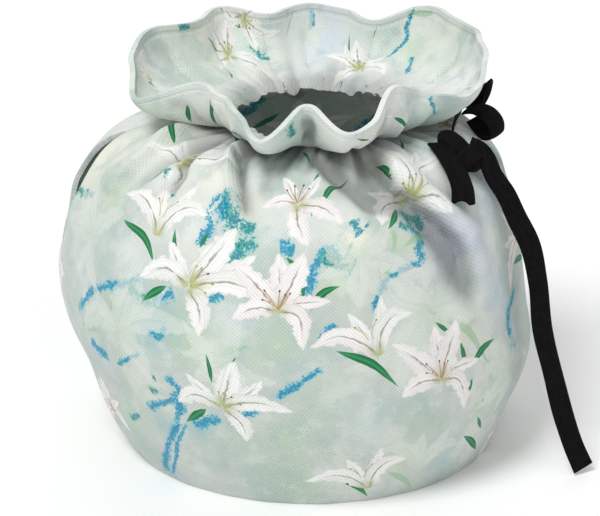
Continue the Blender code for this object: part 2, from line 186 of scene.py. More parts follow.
# Creases of the body laid over the broad folds, in the same rows
CREASES = [
    (4, 0.0046, 1, [(-37, 0.72), (-35, 0.665), (-28, 0.625), (-23, 0.59), (-20, 0.558), (-17, 0.528)]),
    (3.6, -0.004, -1, [(-33, 0.72), (-31, 0.665), (-24, 0.625), (-19, 0.59), (-16, 0.558), (-14, 0.535)]),
    (0.9, -0.0016, 0, [(-29, 0.69), (-27, 0.65), (-21, 0.605), (-17.5, 0.57), (-15.5, 0.54)]),
    (0.9, -0.0016, 0, [(29, 0.64), (31.5, 0.6), (34.5, 0.565), (38.5, 0.532), (42.5, 0.5), (46, 0.465),
      (49, 0.425)]),
    (3.6, -0.0046, 1, [(-50, 0.7), (-47, 0.618), (-43, 0.592), (-42, 0.555)]),
    (5, 0.005, 1, [(-72, 0.7), (-68, 0.643), (-63, 0.603), (-62, 0.567), (-62, 0.52)]),
    (3.2, -0.0018, 0, [(-57, 0.7), (-56, 0.64), (-55, 0.59), (-55, 0.54)]),
    (3, 0.0016, -1, [(24, 0.725), (25, 0.658), (27, 0.613), (30, 0.57)]),
    (5, -0.0058, 0, [(4, 0.7), (9, 0.653), (16, 0.607), (22, 0.568), (25, 0.54)]),
    (7.5, -0.0076, 1, [(26, 0.7), (30, 0.61), (33, 0.575), (37, 0.54), (41, 0.508), (45, 0.47), (48, 0.43),
      (50, 0.35)]),
    (6, 0.0026, -1, [(32, 0.7), (36, 0.61), (39, 0.575), (43, 0.54), (47, 0.508), (51, 0.47), (54, 0.43),
      (56, 0.35)]),
    (2.2, -0.0016, 0, [(-26, 0.715), (-13, 0.627), (-12, 0.58)]),
    (2, -0.0014, 0, [(-6, 0.715), (-4, 0.67), (-3, 0.64)]),
    (2.4, -0.0022, 1, [(60, 0.71), (64, 0.64), (66, 0.59)]),
    (2.2, -0.0016, 0, [(72, 0.715), (76, 0.66), (78, 0.61)]),
    (2.4, -0.0022, -1, [(104, 0.715), (103, 0.66), (106, 0.59)]),
    (3, 0.0026, 1, [(112, 0.72), (112, 0.67), (116, 0.6)]),
    (2.4, -0.0022, 0, [(121, 0.72), (123, 0.65), (128, 0.57)]),
    (3.2, 0.0026, 1, [(146, 0.715), (149, 0.64), (152, 0.54)]),
    (2.6, -0.002, 1, [(163, 0.715), (165, 0.64), (160, 0.56)]),
    (3.6, -0.004, -1, [(179, 0.715), (177, 0.64), (180, 0.52)]),
    (2.6, 0.0018, 0, [(196, 0.715), (199, 0.65), (196, 0.59)]),
    (3, -0.0024, 1, [(212, 0.715), (210, 0.65), (204, 0.55)]),
    (3, 0.0022, -1, [(231, 0.715), (228, 0.64), (230, 0.57)]),
    (2.8, -0.002, 0, [(246, 0.715), (244, 0.65), (240, 0.56)]),
    (5, -0.0012, 0, [(-64, 0.47), (-62, 0.4), (-60, 0.33)]),
    (5, 0.0009, 0, [(-52, 0.47), (-51, 0.4), (-48, 0.34)]),
]

CREASE_OVERRUN = 0.10
CREASE_FADE = 0.30

# Creases of the frill, from near its edge down to the neck
FRILL_CREASES = [
    (2.6, -0.0022, 1, [(-66, 0.955), (-65, 0.9), (-66, 0.8)]),
    (2.8, -0.0024, -1, [(-55, 0.94), (-54, 0.88), (-52, 0.78)]),
    (2.6, 0.0018, 0, [(-40, 0.93), (-41, 0.87), (-42, 0.78)]),
    (2.4, -0.0018, 1, [(-24, 0.95), (-25, 0.88), (-27, 0.78)]),
    (3.6, -0.004, -1, [(-5, 0.975), (-4, 0.9), (-6, 0.78)]),
    (2.4, -0.0016, 0, [(14, 0.93), (15, 0.86), (17, 0.78)]),
    (3, -0.0026, 1, [(36, 0.965), (35, 0.89), (33, 0.78)]),
    (2.6, 0.002, -1, [(47, 0.93), (46, 0.87), (45, 0.79)]),
    (2.6, -0.002, 0, [(62, 0.94), (61, 0.87), (60, 0.78)]),
    (2.6, -0.0016, 0, [(88, 0.94), (88, 0.87), (86, 0.78)]),
    (2.6, 0.002, 1, [(119, 0.95), (118, 0.87), (118, 0.78)]),
    (2.6, 0.0018, 0, [(139, 0.93), (139, 0.87), (138, 0.78)]),
    (2.8, 0.0024, -1, [(155, 0.97), (155, 0.88), (154, 0.78)]),
    (2.6, 0.002, 0, [(184, 0.94), (184, 0.87), (183, 0.78)]),
    (2.8, 0.0024, 1, [(201, 0.97), (201, 0.88), (202, 0.78)]),
    (2.6, 0.0018, 0, [(222, 0.94), (222, 0.87), (223, 0.78)]),
    (2.6, 0.002, -1, [(243, 0.94), (243, 0.87), (244, 0.78)]),
]

FRILL_CREASE_OVERRUN = 0.08
FRILL_CREASE_FADE = 0.35

# Small uneven tucks all round the neck, and slight ripples of the whole cloth
TUCK_COUNT = 46
TUCK_SPREAD = 3               # how much a tuck widens away from the neck
TUCK_RADIUS = 0.060           # distance from the axis from which a tuck has its full depth
RIPPLE_COUNT = 26
RIPPLE_AT_HEM = 0.35          # how much of the ripples is left near the stretched foot
RIPPLE_FROM = 0.30            # share from which they grow
RIPPLE_RUN = 0.35
uneven = np.random.default_rng(11)
NECK_TUCKS = []
for tuck in range(TUCK_COUNT):
    NECK_TUCKS.append({
        "azimuth": -180 + 360 * (tuck + uneven.uniform(-0.32, 0.32)) / TUCK_COUNT,
        "depth": uneven.uniform(0.0014, 0.0036),
        "half_width": uneven.uniform(1.3, 2.6),
        "below": uneven.uniform(0.10, 0.27),
        "above": uneven.uniform(0.06, 0.19),
        "slant": uneven.uniform(-14, 14),
    })
RIPPLES = []
for ripple in range(RIPPLE_COUNT):
    RIPPLES.append({
        "turns": int(uneven.integers(4, 34)),
        "rows": uneven.uniform(-7, 7),
        "phase": uneven.uniform(0, 2 * math.pi),
        "rise": uneven.uniform(0.00005, 0.00013),
    })


def hermite(at, places, values):
    """Read a smooth curve through the points at the given places."""
    places = np.asarray(places, float)
    values = np.asarray(values, float)
    slopes = np.gradient(values, places)
    at = np.clip(at, places[0], places[-1])
    cell = np.clip(np.searchsorted(places, at, side="right") - 1, 0, len(places) - 2)
    span = places[cell + 1] - places[cell]
    t = (at - places[cell]) / span
    start = (2 * t**3 - 3 * t**2 + 1) * values[cell] + (t**3 - 2 * t**2 + t) * span * slopes[cell]
    end = (-2 * t**3 + 3 * t**2) * values[cell + 1] + (t**3 - t**2) * span * slopes[cell + 1]
    return start + end


def along_the_edge(azimuth, values):
    """Read a closed curve round the axis, given where the frill's edge turns."""
    places = np.concatenate([EDGE_AZIMUTHS - 360, EDGE_AZIMUTHS, EDGE_AZIMUTHS + 360])
    return hermite(azimuth, places, np.tile(values, 3))


def smooth(t):
    """An even change from 0 to 1 that starts and ends softly."""
    t = np.clip(t, 0, 1)
    return t * t * (3 - 2 * t)


def turn_between(azimuth, other):
    """Signed turn in degrees from one azimuth to another, within half a turn."""
    return (azimuth - other + 180) % 360 - 180


SECTION_HEIGHTS, SECTION_RADII, SECTION_SHIFTS = np.array(BODY_SECTIONS).T
EDGE_AZIMUTHS, EDGE_REACHES, EDGE_HEIGHTS = np.array(FRILL_EDGE).T
section_steps = np.hypot(np.diff(SECTION_HEIGHTS), np.diff(SECTION_RADII))
SECTION_LENGTHS = np.concatenate([[0], np.cumsum(section_steps)])
BODY_LENGTH = SECTION_LENGTHS[-1]


def body_curve(share, values):
    """Read one column of the body's sections at a share of the cloth below the neck."""
    return hermite(share / NECK_SHARE * BODY_LENGTH, SECTION_LENGTHS, values)


def up_the_frill(share):
    """0 up to the neck and 1 at the frill's edge."""
    return np.clip((share - NECK_SHARE) / (1 - NECK_SHARE), 0, 1)


def cloth_radius(share):
    """Mean distance of the cloth from the axis."""
    body = body_curve(np.minimum(share, NECK_SHARE), SECTION_RADII)
    return body + up_the_frill(share) * (FRILL_REACH - SECTION_RADII[-1])


def print_radius(share):
    """Mean distance from the axis if the gathered frill were pulled out."""
    return cloth_radius(share) * (1 + FRILL_FULLNESS * smooth((share - NECK_SHARE) / FULLNESS_RUN))


def cloth_length(share):
    """Length of the cloth from the hem up to a share."""
    return np.minimum(share, NECK_SHARE) / NECK_SHARE * BODY_LENGTH + up_the_frill(share) * FRILL_LENGTH


def gathers(azimuth, share):
    """Rise of the pleats that the tie makes at the neck."""
    below = smooth((share - NECK_SHARE + GATHER_BELOW) / GATHER_BELOW)
    above = smooth((NECK_SHARE + GATHER_ABOVE - share) / GATHER_ABOVE)
    total = 0
    for ridge, rise in GATHERS:
        total = total + rise * np.exp(-(turn_between(azimuth, ridge) / GATHER_WIDTH)**2)
    return total * np.minimum(below, above)


def along_folds(azimuth, share, folds, overrun, fade):
    """Sum of rounded ridges and troughs along lines that run down the cloth, fading at their ends."""
    total = 0
    for half_width, rise, steep, line in folds:
        azimuths, shares = np.array(line, float).T
        middle = np.interp(share, shares[::-1], azimuths[::-1])
        run = (share - shares[0]) / (shares[-1] - shares[0])
        away = turn_between(azimuth, middle) / half_width
        away = away / np.where(away * steep > 0, STEEP_SLOPE, 1.0)
        ends = smooth(np.minimum(run + overrun, 1 + overrun - run) / fade)
        total = total + rise * np.exp(-away**2) * ends
    return total


def cosy_surface(azimuth, share):
    """The cloth's outer face: azimuth in degrees, share from 0 at the hem to 1 at the frill's edge."""
    body_share = np.minimum(share, NECK_SHARE)
    radius = body_curve(body_share, SECTION_RADII)
    height = body_curve(body_share, SECTION_HEIGHTS)
    middle = body_curve(body_share, SECTION_SHIFTS)
    up = up_the_frill(share)
    edge_reach = along_the_edge(azimuth, EDGE_REACHES) - SECTION_RADII[-1]
    edge_rise = along_the_edge(azimuth, EDGE_HEIGHTS) - SECTION_HEIGHTS[-1]
    radius = radius + 2 * up * (1 - up) * FRILL_CUP_REACH * edge_reach + up**2 * edge_reach
    height = height + 2 * up * (1 - up) * FRILL_CUP_RISE * edge_rise + up**2 * edge_rise
    radius = radius + gathers(azimuth, share)
    radius = radius + along_folds(azimuth, share, BODY_FOLDS, FOLD_OVERRUN, FOLD_FADE)
    angle = np.radians(azimuth)
    return np.stack([AXIS_X + middle + radius * np.sin(angle), -radius * np.cos(angle), height], -1)


def fine_rise(azimuth, share):
    """Height of the small creases, tucks and ripples over the broad shape."""
    total = along_folds(azimuth, share, CREASES, CREASE_OVERRUN, CREASE_FADE)
    total = total + along_folds(azimuth, share, FRILL_CREASES, FRILL_CREASE_OVERRUN, FRILL_CREASE_FADE)
    for tuck in NECK_TUCKS:
        off = share - NECK_SHARE
        reach = np.where(off < 0, tuck["below"], tuck["above"])
        middle = tuck["azimuth"] + tuck["slant"] * off
        away = turn_between(azimuth, middle) / (tuck["half_width"] * (1 + TUCK_SPREAD * np.abs(off)))
        depth = tuck["depth"] * np.minimum(1, cloth_radius(share) / TUCK_RADIUS)**1.5
        total = total - depth * np.exp(-away**2) * smooth(1 - np.abs(off) / reach)
    loose = RIPPLE_AT_HEM + (1 - RIPPLE_AT_HEM) * smooth((share - RIPPLE_FROM) / RIPPLE_RUN)
    for ripple in RIPPLES:
        wave = np.sin(np.radians(azimuth) * ripple["turns"] + ripple["phase"] + share * ripple["rows"])
        total = total + loose * ripple["rise"] * wave
    return total


# Painted shade: the cloth's colour is darkened down in its creases and under the frill near the neck
HOLLOW_STARTS = 0.0003        # depth of a crease at which its painted shade begins
HOLLOW_DEPTH = 0.0050         # further depth over which it becomes full
UNDER_THE_FRILL = 0.60        # painted shade close to the neck, under the frill
SHADE_BELOW = 0.13            # shares of the cloth below and above the neck that have this shade
SHADE_RUN = 0.11
SHADE_ABOVE = 0.05
FACING_TURN = 0.4             # degrees and share to each side over which the cloth's direction is read
FACING_SHARE = 0.003


def painted_shade_in_folds(azimuth, share):
    """How strong the painted shade is at each place, 0 to 1: down in a crease or up under the frill."""
    depth = smooth((-HOLLOW_STARTS - fine_rise(azimuth, share)) / HOLLOW_DEPTH)
    above = smooth((NECK_SHARE + SHADE_ABOVE - share) / SHADE_ABOVE)
    near_neck = smooth((share - NECK_SHARE + SHADE_BELOW) / SHADE_RUN) * above
    return np.clip(depth + UNDER_THE_FRILL * near_neck, 0, 1)


def facing(azimuth, share):
    """Direction straight out of the cloth."""
    round_it = cosy_surface(azimuth + FACING_TURN, share) - cosy_surface(azimuth - FACING_TURN, share)
    higher = cosy_surface(azimuth, np.minimum(share + FACING_SHARE, 1))
    up_it = higher - cosy_surface(azimuth, np.maximum(share - FACING_SHARE, 0))
    round_it = round_it / np.linalg.norm(round_it, axis=-1, keepdims=True)
    outward = np.cross(round_it, up_it)
    return outward / np.linalg.norm(outward, axis=-1, keepdims=True)


def side_edge(side, share):
    """Azimuth of a side seam and half the opening there, both in degrees."""
    row = SIDES[side]
    seam = row["body"] + (row["edge"] - row["body"]) * smooth(up_the_frill(share))
    along = np.clip((share - row["slit_low"]) / (row["slit_high"] - row["slit_low"]), 0, 1)
    half = row["half_width"] * np.sin(math.pi * along) + SEAM_GAP / 2
    return seam, np.degrees(half / cloth_radius(share))


PANEL_SHARES = np.concatenate([
    np.linspace(0, NECK_SHARE, BODY_ROWS + 1),
    np.linspace(NECK_SHARE, 1 - BORDER_SHARE, FRILL_ROWS + 1)[1:],
    np.linspace(1 - BORDER_SHARE, 1, BORDER_ROWS + 1)[1:],
])
STITCH_LINE = 0.981           # share at which the frill's border is stitched down
STITCH_WIDTH = 0.0028
HEM_LINE = 0.022              # share at which the hem is stitched
HEM_WIDTH = 0.0045
STITCH_DIP = 0.0003           # how deep the stitches press the cloth in, in metres
LOWEST = 0.0002               # the cloth above the hem stays clear of the table by this


def border_dip(share):
    """How far the stitch lines of the frill's border and of the hem press the cloth in, 0 to 1."""
    frill = np.exp(-((share - STITCH_LINE) / STITCH_WIDTH)**2)
    hem = np.exp(-((share - HEM_LINE) / HEM_WIDTH)**2)
    return np.maximum(frill, hem)


def grid_object(name, columns, rows, place):
    """A grid whose corner shares (0 to 1 across and up) are moved to place(across, up)."""
    mesh = bpy.data.meshes.new(name)
    bm = bmesh.new()
    bmesh.ops.create_grid(bm, x_segments=columns, y_segments=rows, size=0.5)
    corners = np.array([vertex.co for vertex in bm.verts]) + 0.5
    across = np.round(corners[:, 0] * columns) / columns
    up = np.round(corners[:, 1] * rows) / rows
    for vertex, spot in zip(bm.verts, place(across, up)):
        vertex.co = Vector(spot)
    bm.to_mesh(mesh)
    bm.free()
    obj = bpy.data.objects.new(name, mesh)
    bpy.context.scene.collection.objects.link(obj)
    mesh.shade_smooth()
    return obj, across, up


# The lilies' petals, each a middle line from the throat to the tip and a half width, in shares of the
# flower's size. A later petal lies over an earlier one. Threads are the stamens.
LILIES = {
    "open": {
        "petals": [
            ([(0.30, 0.24), (0.66, 0.36), (1.04, 0.66)], 0.16),
            ([(-0.04, 0.12), (-0.24, 0.34), (-0.52, 0.70)], 0.15),
            ([(0.04, 0.06), (0.30, 0.50), (0.58, 1.06)], 0.30),
            ([(0.02, -0.02), (0.26, -0.32), (0.28, -0.78)], 0.23),
            ([(0.00, 0.03), (-0.44, 0.24), (-0.98, -0.02)], 0.22),
            ([(0.02, 0.02), (0.62, 0.18), (1.42, -0.04)], 0.22),
        ],
        "threads": [
            [(0.02, 0.04), (0.08, 0.24), (0.18, 0.36)],
            [(0.02, 0.04), (0.04, 0.22), (0.08, 0.38)],
            [(0.03, 0.04), (0.18, 0.22), (0.32, 0.28)],
            [(0.03, 0.03), (0.24, 0.12), (0.44, 0.12)],
            [(0.03, 0.02), (0.18, 0.03), (0.34, -0.04)],
        ],
        "warm": 0.0,
    },
    "rosy": {
        "petals": [
            ([(0.14, 0.12), (0.46, 0.16), (0.90, 0.16)], 0.13),
            ([(0.00, 0.08), (0.00, 0.52), (-0.06, 0.98)], 0.21),
            ([(0.03, 0.06), (0.24, 0.56), (0.38, 1.00)], 0.25),
            ([(0.00, 0.04), (-0.36, 0.42), (-0.84, 0.80)], 0.21),
            ([(0.00, 0.02), (-0.34, 0.06), (-0.76, -0.16)], 0.19),
            ([(0.00, 0.02), (0.32, -0.04), (0.44, -0.66)], 0.19),
        ],
        "threads": [
            [(0.00, 0.04), (-0.14, 0.16), (-0.26, 0.20)],
            [(0.00, 0.04), (-0.12, 0.22), (-0.24, 0.36)],
            [(0.00, 0.04), (0.02, 0.20), (0.02, 0.36)],
            [(0.01, 0.04), (0.08, 0.18), (0.12, 0.30)],
            [(0.01, 0.03), (0.12, 0.18), (0.20, 0.32)],
        ],
        "warm": 1.0,
    },
    "low": {
        "petals": [
            ([(-0.03, 0.08), (-0.20, 0.40), (-0.42, 0.74)], 0.12),
            ([(0.06, 0.08), (0.24, 0.40), (0.34, 0.76)], 0.12),
            ([(0.00, 0.02), (-0.30, 0.10), (-0.70, -0.06)], 0.17),
            ([(0.03, 0.00), (0.45, -0.04), (0.98, -0.44)], 0.24),
            ([(0.00, 0.00), (0.06, -0.40), (0.30, -0.86)], 0.25),
        ],
        "threads": [
            [(0.00, 0.04), (-0.16, 0.20), (-0.26, 0.36)],
            [(0.00, 0.04), (-0.08, 0.26), (-0.12, 0.46)],
            [(0.00, 0.04), (0.02, 0.26), (0.05, 0.50)],
            [(0.01, 0.04), (0.10, 0.22), (0.18, 0.40)],
        ],
        "warm": 1.0,
    },
    "trumpet": {
        "petals": [
            ([(-0.04, 0.10), (-0.16, 0.44), (-0.34, 0.84)], 0.13),
            ([(0.02, 0.06), (0.14, 0.46), (0.26, 0.96)], 0.16),
            ([(0.00, 0.00), (-0.22, 0.30), (-0.56, 0.50), (-1.06, 0.42)], 0.18),
            ([(0.02, 0.00), (0.12, 0.34), (0.34, 0.54), (0.74, 0.48)], 0.19),
        ],
        "threads": [
            [(-0.10, 0.30), (-0.16, 0.44), (-0.28, 0.58)],
            [(-0.04, 0.30), (-0.02, 0.44), (0.10, 0.60)],
        ],
        "warm": 0.3,
    },
}

# Where the lilies are printed: the middle as azimuth and share, size in metres, turn in degrees, and whether
# the flower is a pale one in the background
PRINTED_LILIES = {
    "front": [
        ("open", -45.7, 0.31, 0.03, 15, True), ("open", 34.7, 0.375, 0.034, -150, True),
        ("trumpet", 32, 0.055, 0.027, -14, True), ("rosy", 63.3, 0.19, 0.026, 60, True),
        ("open", -13.3, 0.308, 0.02, 150, True), ("open", -60.7, 0.445, 0.024, 120, True),
        ("rosy", 16.7, 0.487, 0.024, 200, True), ("open", -26, 0.417, 0.026, 0, False),
        ("open", -19.7, 0.213, 0.0225, 3, False), ("rosy", -3.3, 0.392, 0.0255, 0, False),
        ("rosy", 36, 0.24, 0.027, -2, False), ("low", -0.4, 0.568, 0.0215, 0, False),
        ("open", 36.7, 0.562, 0.023, 28, False), ("trumpet", -38.7, 0.487, 0.027, 0, False),
        ("trumpet", 20.7, 0.308, 0.027, 10, False), ("trumpet", 17.3, 0.033, 0.026, 8, False),
        ("open", -50.3, 0.618, 0.02, 12, False), ("trumpet", 79.3, 0.398, 0.025, 60, False),
        ("rosy", -65.7, 0.102, 0.018, 30, False), ("open", 75, 0.018, 0.02, 25, False),
        ("trumpet", -82, 0.28, 0.024, 15, False), ("rosy", -80, 0.6, 0.02, -20, True),
        ("open", 82, 0.64, 0.02, 40, False), ("open", 26, 0.905, 0.013, 5, False),
        ("rosy", -82, 0.9, 0.015, -20, True), ("trumpet", 84, 0.88, 0.016, 10, True),
        ("trumpet", -30, 0.9, 0.015, 30, True),
    ],
    "back": [
        ("open", 120, 0.3, 0.024, 30, True), ("rosy", 168, 0.33, 0.025, 150, True),
        ("trumpet", 214, 0.13, 0.025, -20, True), ("open", 240, 0.48, 0.024, 60, True),
        ("open", 203, 0.4, 0.025, 4, False), ("open", 150, 0.18, 0.022, -6, False),
        ("rosy", 176, 0.42, 0.0245, 10, False), ("rosy", 122, 0.42, 0.023, -8, False),
        ("trumpet", 229, 0.25, 0.024, 6, False), ("trumpet", 146, 0.47, 0.024, -12, False),
        ("rosy", 188, 0.13, 0.022, 20, False), ("open", 240, 0.06, 0.021, 16, False),
        ("open", 222, 0.58, 0.021, 24, False), ("rosy", 160, 0.61, 0.02, -14, False),
        ("open", 112, 0.09, 0.021, 0, False), ("trumpet", 252, 0.38, 0.022, 30, False),
        ("rosy", 184, 0.9, 0.014, 20, True), ("open", 116, 0.9, 0.015, -30, True),
        ("open", 238, 0.88, 0.015, 60, True), ("open", 217, 0.86, 0.0165, 60, False),
        ("open", 206.5, 0.985, 0.013, 200, False), ("open", 157.5, 0.815, 0.015, 12, False),
        ("trumpet", 262, 0.9, 0.014, -20, False),
    ],
}

# Leaves: root and tip as azimuth and share, half width and sideways bend in metres, and whether it is pale
PRINTED_LEAVES = {
    "front": [
        (-47.7, 0.345, -46.3, 0.372, 0.0014, 0.0005, True), (-61.7, 0.285, -54.3, 0.292, 0.0018, 0, True),
        (33.7, 0.37, 54.3, 0.215, 0.002, 0.006, True), (40.3, 0.488, 28.7, 0.48, 0.0018, -0.0015, True),
        (27.3, 0.507, 26.3, 0.48, 0.0016, 0.0006, True), (23.3, 0.437, 25.3, 0.453, 0.0017, 0, True),
        (22.3, 0.067, 32.3, 0.007, 0.0018, 0.0016, True), (-16.3, 0.31, -9.7, 0.332, 0.002, 0.0015, True),
        (13, 0.47, 15, 0.497, 0.0014, 0.0005, True), (-52, 0.493, -36, 0.438, 0.0017, 0.0042, False),
        (-31, 0.463, -33.3, 0.5, 0.0015, 0.0005, False), (-25, 0.488, -24, 0.508, 0.0013, 0, False),
        (-31.7, 0.412, -38, 0.378, 0.002, -0.0005, False), (-51.7, 0.6, -52, 0.57, 0.0021, 0.0008, False),
        (7, 0.57, 17, 0.63, 0.0023, 0.0022, False), (4.3, 0.593, 5, 0.637, 0.0014, 0.0006, False),
        (5.3, 0.567, 4.3, 0.55, 0.0013, 0, False), (32.3, 0.612, 28.9, 0.672, 0.0011, -0.0006, False),
        (31, 0.545, 26.7, 0.518, 0.0022, 0.0004, False), (4.7, 0.395, 12, 0.432, 0.0019, 0.0026, False),
        (2.7, 0.405, 3, 0.437, 0.0015, 0.0006, False), (0.3, 0.467, -1.7, 0.478, 0.0014, 0, False),
        (10.3, 0.325, 25, 0.243, 0.0021, 0.0039, False), (2, 0.362, 3.7, 0.377, 0.0015, 0, False),
        (46.3, 0.247, 57, 0.273, 0.0019, 0.002, False), (44.3, 0.25, 43, 0.298, 0.0015, -0.001, False),
        (45.3, 0.22, 43.3, 0.2, 0.0015, 0.0004, False), (39.3, 0.325, 36.7, 0.342, 0.0015, 0, False),
        (7.7, 0.067, 17.7, 0.008, 0.0019, 0.0022, False),
        (-20, 0.268, -20.3, 0.307, 0.0014, -0.0006, False), (-14.7, 0.287, -13.3, 0.31, 0.001, 0, False),
        (-24.3, 0.205, -32, 0.165, 0.0019, -0.0004, False),
        (57.7, 0.04, 46.3, 0.103, 0.0018, -0.001, False), (54.7, 0.098, 49.7, 0.135, 0.0011, 0, False),
        (83.7, 0.347, 69.3, 0.37, 0.0016, -0.0016, False),
        (-64.7, 0.648, -75.7, 0.667, 0.0018, 0.0003, False),
        (-42, 0.707, -57, 0.735, 0.0014, 0.0003, False), (-0.7, 0.682, -5, 0.71, 0.0014, 0, False),
        (43.7, 0.66, 56, 0.717, 0.0012, 0, False), (-54, 0.975, -63, 0.8, 0.0019, -0.001, False),
        (-65.7, 0.92, -68.3, 0.85, 0.0012, 0, False), (40, 0.905, 49, 0.87, 0.002, 0.001, False),
        (20, 0.935, 14, 0.975, 0.0014, 0, False), (-34, 0.93, -28, 0.86, 0.0014, 0.001, True),
        (84, 0.96, 90, 0.88, 0.0015, 0.001, True),
    ],
    "back": [
        (150, 0.42, 136, 0.4, 0.0019, 0.003, False), (192, 0.44, 184, 0.48, 0.0017, 0.001, False),
        (212, 0.33, 222, 0.3, 0.0019, 0.003, False), (166, 0.3, 158, 0.34, 0.0017, 0.002, False),
        (140, 0.22, 132, 0.25, 0.0017, 0.001, False), (236, 0.3, 246, 0.34, 0.0018, 0.002, False),
        (196, 0.2, 204, 0.24, 0.0016, 0.001, False), (128, 0.56, 120, 0.61, 0.0017, 0.001, False),
        (170, 0.56, 178, 0.62, 0.0016, 0.001, False), (232, 0.52, 240, 0.56, 0.0016, 0.001, False),
        (207.7, 0.945, 213.6, 0.992, 0.0024, 0.001, False), (220.8, 0.9, 225.3, 0.942, 0.0014, 0, False),
        (222.8, 0.848, 227, 0.806, 0.0017, 0, False), (163.7, 0.868, 165, 0.928, 0.0014, 0, False),
        (156.2, 0.93, 155, 0.975, 0.001, 0.0005, False), (148, 0.994, 137, 0.986, 0.0017, 0.001, True),
        (201, 0.9, 202.3, 0.956, 0.0015, 0, True), (192, 0.935, 189, 0.985, 0.0013, 0, True),
        (130, 0.3, 124, 0.22, 0.0022, 0.003, True), (182, 0.26, 176, 0.18, 0.0022, 0.003, True),
    ],
}

